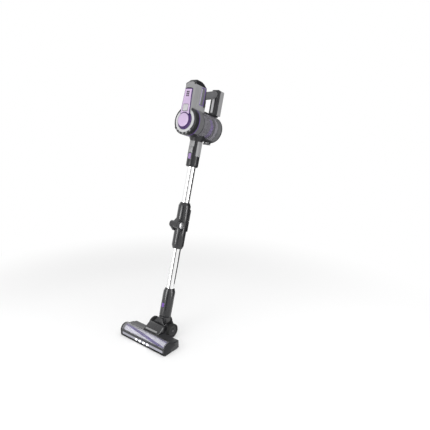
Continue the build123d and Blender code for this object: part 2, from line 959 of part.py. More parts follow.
def latch_rod(radius, half):
    """A bar along the latch's pivot."""
    with BuildPart() as rod:
        with BuildSketch(wand_side(-half)):
            with Locations((latch_pin_y, latch_pin_station)):
                Circle(radius)
        extrude(amount=2 * half)
    return rod.part


latch_pocket = block(
    wand_side(),
    [
        (fold_upper_radius - 3.4, fold_station + 1),
        (fold_upper_radius - 3.4, latch_pin_station + 4.6),
        (latch_radius + 3, latch_pin_station + 4.6),
        (latch_radius + 3, fold_station + 1),
    ],
    latch_tongue_half + play,
)
with BuildPart() as fold_upper_housing:
    add(upper_shell)
    add(rear_sector(fold_upper_radius - 1, latch_radius, bulge_bottom, bulge_top, latch_spread + 4))
    add(side_rooms, mode=Mode.SUBTRACT)
    add(knuckle_rod(knuckle_radius, -knuckle_half, knuckle_half))
    add(knuckle_web(1, -knuckle_half, knuckle_half))
    add(duct, mode=Mode.SUBTRACT)
    add(knuckle_rod(fold_pin_radius + running, -knuckle_half, knuckle_half), mode=Mode.SUBTRACT)
    add(latch_pocket, mode=Mode.SUBTRACT)
    add(latch_rod(latch_pin_radius + running, latch_tongue_half + 3.4), mode=Mode.SUBTRACT)
save(fold_upper_housing, "fold_upper_housing")

with BuildPart() as fold_pin:
    add(knuckle_rod(fold_pin_radius, -barrel_half - 1, barrel_half + 1))
    for x, reach in ((barrel_half, fold_cap_thick), (-barrel_half, -fold_cap_thick)):
        with BuildSketch(wand_side(x)):
            with Locations(hinge_point):
                Circle(fold_cap_radius)
        extrude(amount=reach)
    chamfer(fold_pin.faces().sort_by(Axis.X)[0].edges(), 0.8)
    chamfer(fold_pin.faces().sort_by(Axis.X)[-1].edges(), 0.8)
save(fold_pin, "fold_pin")

# Bellows hose that carries the air across the fold.
hose_pitch = 5.5
hose_half = hose_length / 2
ribs = int(hose_length / hose_pitch)
hose_outline = [(hose_radius - 2.6, fold_station - hose_half)]
for i in range(ribs):
    start = fold_station - hose_half + i * hose_pitch
    hose_outline += [
        (hose_radius, start + 0.2),
        (hose_radius, start + 0.5 * hose_pitch),
        (hose_radius - 1.2, start + 0.7 * hose_pitch),
        (hose_radius - 1.2, start + 0.95 * hose_pitch),
    ]
hose_outline.append((hose_radius - 2.6, fold_station - hose_half + ribs * hose_pitch))
with BuildPart() as flex_hose:
    add(wand_turned(*hose_outline))
save(flex_hose, "flex_hose")

latch_tongue = block(
    wand_side(),
    [
        (fold_upper_radius - 1.9, latch_top - 8),
        (fold_upper_radius - 1.9, latch_pin_station),
        (latch_pin_y, latch_pin_station + 2.9),
        (latch_radius - 0.8, latch_pin_station),
        (latch_radius - 0.6, latch_top - 8),
    ],
    latch_tongue_half,
)
latch_hollow = wand_turned(
    (0, latch_bottom - 1),
    (fold_upper_radius + play, latch_bottom - 1),
    (fold_upper_radius + play, latch_top - 0.5),
    (0, latch_top - 0.5),
)
with BuildPart() as fold_latch:
    add(rear_sector(fold_upper_radius + play, latch_radius, latch_bottom, latch_top, latch_spread))
    add(latch_tongue)
    add(latch_rod(latch_pin_radius, latch_tongue_half + 3))
    add(latch_hollow, mode=Mode.SUBTRACT)
save(fold_latch, "fold_latch")

# ==== Handheld unit: inlet ====================================================================
# What the shells that sit on the drum, the collar and the cup are cut by.
unit_core = drum_turned(
    (-120, 0),
    (-120, disc_room),
    (column_front, disc_room),
    (column_front, ring_bore + seat),
    (ring_front - seat, ring_bore + seat),
    (ring_front - seat, ring_radius + seat),
    (drum_front - seat, ring_radius + seat),
    (drum_front - seat, drum_radius + seat),
    (collar_front, drum_radius + seat),
    (collar_front, collar_body_radius + seat),
    (cup_front + seat, collar_body_radius + seat),
    (cup_front + seat, cup_radius + seat),
    (120, cup_radius + seat),
    (120, 0),
)
inlet_duct = 15.0
inlet_socket_top = inlet_bottom + inlet_socket
flare_radius = 36.0
flare_low = collar_body_radius + 11
flare_high = collar_body_radius - 11
plate_top = -collar_body_radius - 12
inlet_press_size = (12.0, 23.0)
inlet_press_station = 737.9
inlet_press_depth = 6.5
inlet_face = -inlet_radius - 1.5
inlet_pocket = press_button(
    inlet_face - 2,
    inlet_press_station,
    (inlet_press_size[0] + 2 * play, inlet_press_size[1] + 2 * play),
    inlet_press_depth + press_travel + play + 2,
)
with BuildPart() as inlet_button:
    add(press_button(inlet_face, inlet_press_station, inlet_press_size, inlet_press_depth))
save(inlet_button, "inlet_button")

with BuildPart() as inlet_tube:
    add(wand_turned(
        (tube_bore, inlet_bottom),
        (inlet_radius - 3, inlet_bottom),
        (inlet_radius, inlet_bottom + 5),
        (inlet_radius, drum_station - flare_low),
        (flare_radius, drum_station - flare_high),
        (flare_radius, drum_station - flare_high + 16),
        (inlet_duct, drum_station - flare_high + 16),
        (inlet_duct, inlet_socket_top),
        (tube_bore, inlet_socket_top),
    ))
    add(unit_core, mode=Mode.SUBTRACT)
    add(inlet_pocket, mode=Mode.SUBTRACT)
save(inlet_tube, "inlet_tube")


def inlet_plate(centre_angle, half_angle, low, high):
    """A thin plate wrapped on the inlet: a sector of a ring between two heights under the drum."""
    ring = wand_turned(
        (inlet_radius + 0.05, drum_station + low),
        (inlet_radius + plate_thick, drum_station + low),
        (inlet_radius + plate_thick, drum_station + high),
        (inlet_radius + 0.05, drum_station + high),
    )
    corners = [
        (60 * sin(radians(centre_angle + turn)), -60 * cos(radians(centre_angle + turn)))
        for turn in (-half_angle, 0, half_angle)
    ]
    with BuildPart() as wedge:
        with BuildSketch(unit_top(low - 1)):
            with BuildLine():
                Polyline((0, 0), *corners, close=True)
            make_face()
        extrude(amount=high - low + 2)
    return ring.intersect(wedge.part)


with BuildPart() as inlet_plates:
    add(inlet_plate(90, 33, -131, plate_top))
    add(inlet_plate(-90, 33, -131, plate_top))
    add(inlet_plate(0, 30, -92, plate_top))
    add(inlet_plate(0, 21, -119, -93))
save(inlet_plates, "inlet_plates")

# ==== Handheld unit: motor drum, collar and fan ================================================
front_wall_back = drum_front + 7.0


def lug(angle):
    """One lug on the drum's front face, around the ring; angle is measured from straight down."""
    lug_low = ring_radius + play
    lug_high = drum_radius - 1.25
    toward = up * -cos(radians(angle)) + sideways * sin(radians(angle))
    place = Plane(origin=drum_centre + back * ring_front, x_dir=toward, z_dir=back)
    with BuildPart() as tab:
        with BuildSketch(place):
            with Locations(((lug_low + lug_high) / 2, 0)):
                Rectangle(lug_high - lug_low, lug_width)
        extrude(amount=drum_front + 2.5 - ring_front)
    return tab.part


lugs = [lug(lug_pitch * (k - (lug_count - 1) / 2)) for k in range(lug_count)]
with BuildPart() as motor_drum:
    add(drum_turned(
        (drum_front, ring_radius + seat),
        (drum_front, drum_radius - 2),
        (drum_front + 2, drum_radius),
        (collar_front - seat, drum_radius),
        (collar_front - seat, drum_radius - shell_wall),
        (front_wall_back, drum_radius - shell_wall),
        (front_wall_back, ring_radius - 4),
        (ring_back + seat, ring_radius - 4),
        (ring_back + seat, ring_radius + seat),
    ))
    add(lugs)
save(motor_drum, "motor_drum")


with BuildPart() as ring_trim:
    add(drum_turned(
        (ring_front, ring_bore + 1),
        (ring_front, ring_radius - 1.5),
        (ring_front + 1.5, ring_radius),
        (ring_back, ring_radius),
        (ring_back, ring_bore),
        (ring_front + 1, ring_bore),
    ))
save(ring_trim, "ring_trim")

# Filter door in the middle of the ring.
with BuildPart() as filter_cap:
    add(drum_turned(
        (disc_front, 0),
        (disc_front, disc_radius - 1.5),
        (disc_front + 1.5, disc_radius),
        (ring_front - 0.8, disc_radius + 1),
        (ring_front + 0.2, disc_radius + 2.2),
        (ring_front + 0.5, cap_radius - 0.5),
        (ring_front + 1, cap_radius),
        (ring_back + 0.5, cap_radius),
        (ring_back + 0.5, cap_radius - 2.2),
        (ring_front + 3, cap_radius - 2.6),
        (ring_front + 3, disc_radius - 1.2),
        (disc_front + 3, disc_radius - 2.6),
        (disc_front + 3, 0),
    ))
save(filter_cap, "filter_cap")

filter_radius = ring_radius - 4.5
with BuildPart() as hepa_filter:
    add(drum_turned(
        (ring_back + 1.2, 12),
        (ring_back + 1.2, filter_radius),
        (front_wall_back + seat, filter_radius),
        (front_wall_back + seat, drum_radius - shell_wall - 1),
        (front_wall_back + 2, drum_radius - shell_wall - 1),
        (front_wall_back + 2, filter_radius),
        (-72.0, filter_radius),
        (-72.0, 12),
    ))
save(hepa_filter, "hepa_filter")

can_radius = 40.0
can_front = -70.0
can_back = -37.0
can_wall = 3.0
hub_radius = 4.0
shaft_radius = 2.0
with BuildPart() as motor_collar:
    add(drum_turned(
        (collar_front, collar_body_radius - 1),
        (collar_front + 1, collar_body_radius),
        (cup_front, collar_body_radius),
        (cup_front, 24),
        (can_back + seat, 24),
        (can_back + seat, collar_body_radius - shell_wall),
        (-57, collar_body_radius - shell_wall),
        (-57, can_radius + seat),
        (-60, can_radius + seat),
        (-60, collar_body_radius - shell_wall),
        (collar_front, collar_body_radius - shell_wall),
    ))
save(motor_collar, "motor_collar")

with BuildPart() as suction_motor:
    add(drum_turned(
        (can_front, shaft_radius + running),
        (can_front, can_radius - 1),
        (can_front + 1, can_radius),
        (can_back, can_radius),
        (can_back, 20),
        (can_back - 2.5, 20),
        (can_back - 2.5, can_radius - can_wall),
        (-55, can_radius - can_wall),
        (-55, shaft_radius + running),
    ))
    with BuildSketch(Plane(origin=drum_centre + back * (can_front - 1), x_dir=sideways, z_dir=back)):
        with PolarLocations(25, 6):
            Circle(5)
    extrude(amount=16.5, mode=Mode.SUBTRACT)
save(suction_motor, "suction_motor")

with BuildPart() as fan:
    add(drum_turned(
        (can_front + 0.5, 0),
        (can_front + 0.5, shaft_radius),
        (-54.6, shaft_radius),
        (-54.0, hub_radius),
        (-54.0, 34),
        (-52.4, 34),
        (-51, 12),
        (-43, 9),
        (-41, 6),
        (-41, 0),
    ))
    for turn in range(9):
        angle = radians(40 * turn)
        toward = up * cos(angle) + sideways * sin(angle)
        with BuildSketch(Plane(origin=drum_centre + back * -53.5, x_dir=toward, z_dir=back)):
            with Locations((20, 0)):
                Rectangle(26, 1.2)
        extrude(amount=9)
save(fan, "fan")

# ==== Handheld unit: dust cup =================================================================
inlet_hole = wand_turned(
    (0, drum_station - cup_radius - 13),
    (0, drum_station - cup_radius + 16),
    (inlet_duct + 1, drum_station - cup_radius + 16),
    (inlet_duct + 1, drum_station - cup_radius - 13),
)
with BuildPart() as dust_cup:
    add(drum_turned(
        (cup_front + 0.2, cup_radius - cup_wall),
        (cup_front + 0.2, cup_radius),
        (cup_ring_front, cup_radius),
        (cup_ring_front, cup_radius - cup_wall),
    ))
    add(inlet_hole, mode=Mode.SUBTRACT)
save(dust_cup, "dust_cup")

latch_pivot_y = 66.0
latch_pivot_z = -cup_radius - 6.1
lever_half = 8.0


def latch_lug(x):
    """A lug under the cup that carries one end of the lid latch's pivot."""
    with BuildPart() as tab:
        with BuildSketch(unit_side(x)):
            with BuildLine():
                Polyline(
                    (latch_pivot_y - 6, -cup_radius + 2.5),
                    (latch_pivot_y - 3.2, latch_pivot_z),
                    (latch_pivot_y, latch_pivot_z - 3.2),
                    (latch_pivot_y + 3.2, latch_pivot_z),
                    (latch_pivot_y + 6, -cup_radius + 2.5),
                    close=True,
                )
            make_face()
        extrude(amount=3)
    return tab.part


def latch_bar(radius, half):
    """A bar along the lid latch's pivot."""
    with BuildPart() as rod:
        with BuildSketch(unit_side(-half)):
            with Locations((latch_pivot_y, latch_pivot_z)):
                Circle(radius)
        extrude(amount=2 * half)
    return rod.part


with BuildPart() as cup_rear_ring:
    add(drum_turned(
        (cup_ring_front + seat, cup_radius - 3),
        (cup_ring_front + seat, cup_radius),
        (lid_front - 0.4, cup_radius),
        (lid_front - 0.4, cup_radius - 3),
    ))
    add([latch_lug(lever_half + play), latch_lug(-lever_half - play - 3)])
    add(latch_bar(lid_pin_radius + running, lever_half + 3), mode=Mode.SUBTRACT)
save(cup_rear_ring, "cup_rear_ring")

lever = block(
    unit_side(),
    [
        (latch_pivot_y - 13, latch_pivot_z - 1),
        (latch_pivot_y - 12, latch_pivot_z - 6.5),
        (latch_pivot_y - 8, latch_pivot_z - 6.5),
        (latch_pivot_y - 4, latch_pivot_z - 4.3),
        (latch_pivot_y, latch_pivot_z - 3.7),
        (lid_front - 0.5, latch_pivot_z - 3.5),
        (lid_front + 2, latch_pivot_z - 1.5),
        (lid_front + 2, latch_pivot_z + 0.1),
        (lid_front - 2.5, latch_pivot_z + 0.9),
        (latch_pivot_y, latch_pivot_z + 3.1),
        (latch_pivot_y - 6, latch_pivot_z + 1.9),
    ],
    lever_half,
)
with BuildPart() as lid_latch:
    add(lever)
    add(latch_bar(lid_pin_radius, lever_half + 2.8))
save(lid_latch, "lid_latch")

shroud_back = 23.0
shroud_radius = cup_radius - 11.4
with BuildPart() as cyclone_shroud:
    add(drum_turned(
        (cup_front + 0.3, shroud_radius - 19),
        (cup_front + 0.3, shroud_radius + 5),
        (cup_front + 3, shroud_radius + 5),
        (cup_front + 9, shroud_radius + 1),
        (shroud_back - 2, shroud_radius),
        (shroud_back, shroud_radius - 2),
        (shroud_back, shroud_radius - 5),
        (shroud_back - 3, shroud_radius - 2.6),
        (cup_front + 9, shroud_radius - 1.6),
        (cup_front + 3, shroud_radius - 2),
        (cup_front + 3, shroud_radius - 19),
    ))
save(cyclone_shroud, "cyclone_shroud")

mesh_back = 44.0
mesh_radius = shroud_radius - 2
slot_count = 20
with BuildPart() as mesh_ring:
    add(drum_turned(
        (shroud_back + seat, mesh_radius - 5),
        (shroud_back + seat, mesh_radius),
        (mesh_back - 2, mesh_radius),
        (mesh_back, mesh_radius - 3),
        (mesh_back, 0),
        (mesh_back - 2, 0),
        (mesh_back - 2, mesh_radius - 5),
        (mesh_back - 3, mesh_radius - 2),
        (shroud_back + 3, mesh_radius - 2),
        (shroud_back + 3, mesh_radius - 5),
    ))
    for turn in range(slot_count):
        angle = radians(360 / slot_count * turn)
        toward = up * cos(angle) + sideways * sin(angle)
        with BuildSketch(Plane(origin=drum_centre + back * (shroud_back + 5), x_dir=toward, z_dir=back)):
            with Locations((mesh_radius - 1, 0)):
                Rectangle(4, 5)
        extrude(amount=10, mode=Mode.SUBTRACT)
save(mesh_ring, "mesh_ring")

# Rear door of the cup, hinged under the battery.
lid_arm_half = 4.6
lid_web = block(
    unit_side(),
    [
        (lid_hinge_y - lid_knuckle_radius, lid_hinge_z),
        (lid_hinge_y - lid_knuckle_radius, cup_radius - 4),
        (lid_hinge_y + 1, cup_radius - 6),
        (lid_hinge_y + lid_knuckle_radius, lid_hinge_z),
    ],
    lid_arm_half,
)
lid_lip = block(
    unit_side(),
    [
        (lid_front, -cup_radius + 3),
        (lid_front, latch_pivot_z + 2.3),
        (lid_front + 3, latch_pivot_z + 2.3),
        (lid_front + 4, -cup_radius + 3),
    ],
    lever_half - 1,
)


def lid_rod(radius, x_low, x_high):
    """A bar along the cup lid's hinge."""
    with BuildPart() as rod:
        with BuildSketch(unit_side(x_low)):
            with Locations((lid_hinge_y, lid_hinge_z)):
                Circle(radius)
        extrude(amount=x_high - x_low)
    return rod.part


lid_hollow = drum_turned(
    (lid_front, 0),
    (lid_front, cup_radius - 4),
    (lid_back - 5, cup_radius - 8),
    (lid_back - 2.4, cup_radius - 12),
    (lid_back - 2.4, 0),
)
with BuildPart() as cup_lid:
    add(drum_turned(
        (lid_front, 0),
        (lid_front, cup_radius),
        (lid_front + 3, cup_radius),
        (lid_front + 7, cup_radius - 1.8),
        (lid_back - 2.5, cup_radius - 5),
        (lid_back, cup_radius - 10),
        (lid_back, 0),
    ))
    add(lid_hollow, mode=Mode.SUBTRACT)
    add(lid_web)
    add(lid_lip)
    add(lid_rod(lid_knuckle_radius, -lid_arm_half, lid_arm_half))
    add(lid_rod(lid_pin_radius + running, -lid_arm_half, lid_arm_half), mode=Mode.SUBTRACT)
save(cup_lid, "cup_lid")

with BuildPart() as lid_hinge_pin:
    add(lid_rod(lid_pin_radius, -rail_half, rail_half))
save(lid_hinge_pin, "lid_hinge_pin")

# Rail along the cup's top: carries the lid hinge and the foot of the rear post.
rail_front = -11.0
rail_foot = cup_radius - 8.4
rail_arm = block(
    unit_side(),
    [
        (rail_back - 1.5, rail_top - 5),
        (lid_hinge_y, lid_hinge_z - lid_knuckle_radius),
        (lid_hinge_y, lid_hinge_z + lid_knuckle_radius),
        (rail_back - 1.5, rail_top),
    ],
    rail_half,
)
rail_bar = block(
    unit_side(),
    [(rail_front, rail_foot), (rail_back, rail_foot), (rail_back, rail_top), (rail_front, rail_top)],
    rail_half,
)
with BuildPart() as cup_rail:
    add(rail_bar)
    add(rail_arm)
    add(lid_rod(lid_knuckle_radius, -rail_half, rail_half))
    add(block(
        unit_side(),
        [
            (rail_back, rail_foot - 8),
            (rail_back, rail_top + 8),
            (lid_back + 5, rail_top + 8),
            (lid_back + 5, rail_foot - 8),
        ],
        lid_arm_half + play,
    ), mode=Mode.SUBTRACT)
    add(unit_core, mode=Mode.SUBTRACT)
    add(lid_rod(lid_pin_radius, -rail_half, rail_half), mode=Mode.SUBTRACT)
save(cup_rail, "cup_rail")

# ==== Handheld unit: column ===================================================================


def column_arch_bar(inset, y_front, length):
    """A bar of the column's arched front outline, drawn smaller by inset all round."""
    with BuildPart() as bar:
        with BuildSketch(unit_front(y_front)):
            with BuildLine():
                Line((-column_half + 2, 24), (column_half - 2, 24))
                Line((column_half - 2, 24), (column_half, 120))
                Line((column_half, 120), (column_half, column_top - column_arch))
                ThreePointArc(
                    (column_half, column_top - column_arch),
                    (0.72 * column_half, column_top - 0.24 * column_arch),
                    (0, column_top + 0.5),
                )
                ThreePointArc(
                    (0, column_top + 0.5),
                    (-0.72 * column_half, column_top - 0.24 * column_arch),
                    (-column_half, column_top - column_arch),
                )
                Line((-column_half, column_top - column_arch), (-column_half, 120))
                Line((-column_half, 120), (-column_half + 2, 24))
            make_face()
            offset(amount=-inset, kind=Kind.INTERSECTION)
        extrude(amount=-length)
    return bar.part


def column_form(inset):
    """The arched column over the drum, drawn smaller by inset all round."""
    with BuildPart() as side_form:
        with BuildSketch(unit_side()):
            with BuildLine():
                Polyline(
                    (column_front, 30),
                    (column_front, 138),
                    (column_front + 2, 148),
                    (column_front + 7, 158),
                    (column_front + 15, 166.5),
                    (column_front + 26, column_top),
                    (-45, column_top - 0.5),
                    (-34, 167),
                    (-27, 158),
                    (-21.5, 128),
                    (-12, 73),
                    (-12, 46),
                    (-40, 30),
                    close=True,
                )
            make_face()
            offset(amount=-inset, kind=Kind.INTERSECTION)
        extrude(amount=column_half + 5, both=True)
    with BuildPart() as corner_form:
        with BuildSketch(Plane(origin=drum_centre + up * 20, x_dir=sideways, z_dir=up)):
            with BuildLine():
                Polyline(
                    (-column_half - 5, 5),
                    (-column_half - 5, column_front + 2 * corner_depth),
                    (-column_half + 2 * corner_width, column_front - corner_depth),
                    (column_half - 2 * corner_width, column_front - corner_depth),
                    (column_half + 5, column_front + 2 * corner_depth),
                    (column_half + 5, 5),
                    close=True,
                )
            make_face()
            offset(amount=-inset, kind=Kind.INTERSECTION)
        extrude(amount=column_top)
    return side_form.part & column_arch_bar(inset, column_front - 5, 120) & corner_form.part


def unit_box(y_low, y_high, z_low, z_high, half_width=60.0):
    """A box in the handheld unit's frame."""
    outline = [(y_low, z_low), (y_high, z_low), (y_high, z_high), (y_low, z_high)]
    return block(unit_side(), outline, half_width)


column_outer = column_form(0)
column_inner = column_form(column_wall)
column_hug = column_form(-seat)
arch_front = column_front - 5
arch_length = 28.5
cap_zone = (
    unit_box(arch_front, 0, cap_seam, column_top + 20)
    - column_arch_bar(cap_edge, arch_front - 1, arch_length)
)
cap_zone_out = (
    unit_box(arch_front, 0, cap_seam - seat, column_top + 20)
    - column_arch_bar(cap_edge + seat, arch_front - 1, arch_length - seat)
)
front_zone = unit_box(column_front - 20, column_seam, 0, column_top + 20)
rear_zone = unit_box(column_seam + seat, 20, 0, column_top + 20)
board_front = -85.9
board_thick = 1.6
board_half = 19.0
board_ribs = [
    unit_box(column_front + 1, board_front - seat, 72, 132, 1.2).moved(Location(sideways * x))
    for x in (-14.0, 14.0)
]
with BuildPart() as front_shell:
    add(column_outer)
    add(column_inner, mode=Mode.SUBTRACT)
    add(board_ribs)
    add(front_zone, mode=Mode.INTERSECT)
    add(cap_zone_out, mode=Mode.SUBTRACT)
    add(unit_core, mode=Mode.SUBTRACT)
save(front_shell, "front_shell")

panel_depth = 0.8
panel_front = -51.0
panel_rear = -28.5
panel_low = 74.0
panel_high = 146.0
grip_along = back * cos(radians(grip_slope)) + up * sin(radians(grip_slope))
grip_plane = Plane(
    origin=drum_centre + up * grip_height, x_dir=sideways, z_dir=grip_along
)
grip_height_radius = grip_radius + 1.0
grip_wall = 2.6


def grip_rod(x_radius, y_radius, start, end):
    """An oval bar along the grip."""
    grip_end = grip_plane.origin + grip_along * start
    with BuildPart() as rod:
        with BuildSketch(Plane(origin=grip_end, x_dir=sideways, z_dir=grip_along)):
            Ellipse(x_radius, y_radius)
        extrude(amount=end - start)
    return rod.part


with BuildPart() as rear_shell:
    add(column_outer)
    add(column_inner, mode=Mode.SUBTRACT)
    add(rear_zone, mode=Mode.INTERSECT)
    add(cap_zone_out, mode=Mode.SUBTRACT)
    add(unit_core, mode=Mode.SUBTRACT)
    for x in (1, -1):
        add(
            (unit_box(panel_front, panel_rear, panel_low, panel_high).moved(Location(sideways * x * 70))
             - column_form(panel_depth + 1.3)),
            mode=Mode.SUBTRACT,
        )
save(rear_shell, "rear_shell")

with BuildPart() as top_cap:
    add(column_outer)
    add(column_inner, mode=Mode.SUBTRACT)
    add(cap_zone, mode=Mode.INTERSECT)
save(top_cap, "top_cap")

with BuildPart() as side_panels:
    add(column_form(panel_depth))
    add(column_form(panel_depth + 1.2), mode=Mode.SUBTRACT)
    add(
        unit_box(panel_front + seat, panel_rear - seat, panel_low + seat, panel_high - seat),
        mode=Mode.INTERSECT,
    )
save(side_panels, "side_panels")

with BuildPart() as control_board:
    with BuildSketch(unit_front(board_front)):
        with Locations((0, 102)):
            Rectangle(2 * board_half, 72)
    extrude(amount=-board_thick)
    with BuildSketch(unit_front(board_front + board_thick)):
        with Locations((0, 118)):
            Rectangle(16, 12)
        with Locations((-9, 94), (9, 94)):
            Circle(4.5)
        with Locations((0, 76)):
            Rectangle(24, 9)
    extrude(amount=-6)
save(control_board, "control_board")


# ==== Handheld unit: control stripe ===========================================================
button_room = block(
    unit_side(),
    [
        (column_front - 8, button_centre - button_size / 2 - 0.3),
        (column_front, button_centre - button_size / 2 - 0.3),
        (column_front, button_centre + button_size / 2 + 0.3),
        (column_front - 8, button_centre + button_size / 2 + 0.3),
    ],
    button_size / 2 + 0.3,
)


def stripe(growth, y_front, y_back):
    """A layer of the stripe down the column's front; growth widens it each way."""
    with BuildPart() as layer:
        with BuildSketch(unit_front(y_front)):
            with BuildLine():
                Polyline(
                    (-stripe_bottom_half - growth, stripe_bottom),
                    (stripe_bottom_half + growth, stripe_bottom),
                    (stripe_top_half + growth, stripe_top + growth),
                    (-stripe_top_half - growth, stripe_top + growth),
                    close=True,
                )
            make_face()
        extrude(amount=y_front - y_back)
    return layer.part


stripe_middle = column_front - stripe_layer
stripe_front = stripe_middle - stripe_layer
with BuildPart() as stripe_base:
    add(stripe(stripe_border, stripe_middle, column_front - 0.05))
    add(button_room, mode=Mode.SUBTRACT)
    add(unit_core, mode=Mode.SUBTRACT)
save(stripe_base, "stripe_base")

with BuildPart() as stripe_panel:
    add(stripe(0, stripe_front, stripe_middle - 0.05))
    add(button_room, mode=Mode.SUBTRACT)
    add(unit_core, mode=Mode.SUBTRACT)
save(stripe_panel, "stripe_panel")

with BuildPart() as mode_button:
    with BuildSketch(unit_front(stripe_front - button_proud)):
        with Locations((0, button_centre)):
            RectangleRounded(button_size, button_size, 2)
    extrude(amount=-button_proud - 2 * stripe_layer + button_travel + 0.3)
    chamfer(mode_button.faces().sort_by(Axis(drum_centre, back))[0].edges(), 0.8)
save(mode_button, "mode_button")

# ==== Handheld unit: grip and trigger =========================================================
trigger_slot = unit_box(
    trigger_pin_y - 9.5, trigger_pin_y + 21.5, trigger_pin_z - 23, trigger_pin_z + 4.5, trigger_half + play
)


def trigger_bar(radius, half):
    """A bar along the trigger's pivot."""
    with BuildPart() as rod:
        with BuildSketch(unit_side(-half)):
            with Locations((trigger_pin_y, trigger_pin_z)):
                Circle(radius)
        extrude(amount=2 * half)
    return rod.part


with BuildPart() as handle_grip:
    add(grip_rod(grip_radius, grip_height_radius, -45, 75))
    add(grip_rod(grip_radius - grip_wall, grip_height_radius - grip_wall, -46, 76), mode=Mode.SUBTRACT)
    add(column_hug, mode=Mode.SUBTRACT)
    add(unit_box(post_front - seat, battery_back, rail_top, battery_top + 40), mode=Mode.SUBTRACT)
    add(trigger_slot, mode=Mode.SUBTRACT)
    add(trigger_bar(trigger_pin_radius + running, 10.8), mode=Mode.SUBTRACT)
save(handle_grip, "handle_grip")

with BuildPart() as trigger:
    with BuildSketch(unit_side()):
        with BuildLine():
            Polyline(
                (trigger_pin_y - 5, trigger_pin_z - 2),
                (trigger_pin_y - 3, trigger_pin_z + 2.5),
                (trigger_pin_y + 3, trigger_pin_z + 3.3),
                (trigger_pin_y + 11, trigger_pin_z),
                (trigger_pin_y + 16, trigger_pin_z - 6),
                (trigger_pin_y + 17.5, trigger_pin_z - 15),
                (trigger_pin_y + 15, trigger_pin_z - 24),
                (trigger_pin_y + 12, trigger_pin_z - 26),
                (trigger_pin_y + 9.5, trigger_pin_z - 24.5),
                (trigger_pin_y + 7.5, trigger_pin_z - 18),
                (trigger_pin_y + 2, trigger_pin_z - 12),
                (trigger_pin_y - 4, trigger_pin_z - 8),
                close=True,
            )
        make_face()
    extrude(amount=trigger_half, both=True)
    add(trigger_bar(trigger_pin_radius, 10.4))
save(trigger, "trigger")

# ==== Handheld unit: rear post and battery ====================================================
post_back = post_front + post_depth
battery_front = post_back + 0.3
foot_top = battery_bottom - 0.3
with BuildPart() as handle_post:
    with BuildSketch(unit_side()):
        with BuildLine():
            Polyline(
                (post_front, rail_top + seat),
                (post_front, battery_top - 3),
                (post_front + 3, battery_top),
                (post_back, battery_top),
                (post_back, foot_top),
                (rail_back - 2, foot_top),
                (rail_back - 2, rail_top + seat),
                close=True,
            )
        make_face()
    extrude(amount=post_half, both=True)
    chamfer(handle_post.edges().filter_by(Axis(drum_centre, up)).group_by(Axis(drum_centre, back))[0], 2.5)
save(handle_post, "handle_post")


def battery_form(inset):
    """The battery's outer form, drawn smaller by inset all round."""
    with BuildPart() as form:
        with BuildSketch(unit_top(battery_bottom + inset)):
            with Locations((0, (battery_front + battery_back) / 2)):
                RectangleRounded(
                    2 * (battery_half - inset), battery_back - battery_front - 2 * inset, 4 - 0.5 * inset
                )
        extrude(amount=battery_top - battery_bottom - 2 * inset)
        chamfer(form.faces().sort_by(wand_axis)[-1].edges(), 3 - 0.5 * inset)
    return form.part


battery_outer = battery_form(0)
battery_inner = battery_form(battery_wall)
battery_press_y = battery_front + 4.4
battery_press_half = 8.0
battery_press_low = battery_top - 1.9
battery_press_travel = 1.5


def battery_press(grow, low, high):
    """The block of the battery's release button, grown each way."""
    return unit_box(
        battery_press_y - 2.6 - grow, battery_press_y + 2.6 + grow, low, high, battery_press_half + grow
    )


battery_front_zone = unit_box(battery_front - 1, battery_seam - seat, battery_bottom - 1, battery_top + 1)
battery_press_floor = battery_press_low - battery_press_travel - play
with BuildPart() as battery_front_case:
    add(battery_outer)
    add(battery_inner, mode=Mode.SUBTRACT)
    add(battery_front_zone, mode=Mode.INTERSECT)
    add(battery_press(0.3, battery_press_floor, battery_top + 1), mode=Mode.SUBTRACT)
save(battery_front_case, "battery_front_case")

with BuildPart() as battery_button:
    add(battery_press(0, battery_press_low, battery_top + 1.9))
    chamfer(battery_button.faces().sort_by(wand_axis)[-1].edges(), 0.6)
save(battery_button, "battery_button")

jack_height = battery_bottom + 11.0
jack_radius = 2.8
with BuildPart() as battery_rear_case:
    add(battery_outer)
    add(battery_inner, mode=Mode.SUBTRACT)
    add(unit_box(battery_seam, battery_back + 1, battery_bottom - 1, battery_top + 1), mode=Mode.INTERSECT)
    with BuildSketch(unit_front(battery_back - battery_wall - 1)):
        with Locations((0, jack_height)):
            Circle(jack_radius)
    extrude(amount=-battery_wall - 2, mode=Mode.SUBTRACT)
save(battery_rear_case, "battery_rear_case")

cell_pitch = 2 * cell_radius + seat
cell_bottom = battery_bottom + battery_wall + seat
with BuildPart() as battery_cells:
    for layer in range(2):
        with BuildSketch(unit_top(cell_bottom + layer * (cell_length + seat))):
            with Locations((0, (battery_front + battery_back) / 2)):
                with GridLocations(cell_pitch, cell_pitch, 2, 2):
                    Circle(cell_radius)
        extrude(amount=cell_length)
save(battery_cells, "battery_cells")
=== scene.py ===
"""Materials, small detail, studio and camera of the cordless stick vacuum, over its CAD nodes."""
import json
import math

import bmesh
import bpy
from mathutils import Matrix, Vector
from mathutils.bvhtree import BVHTree


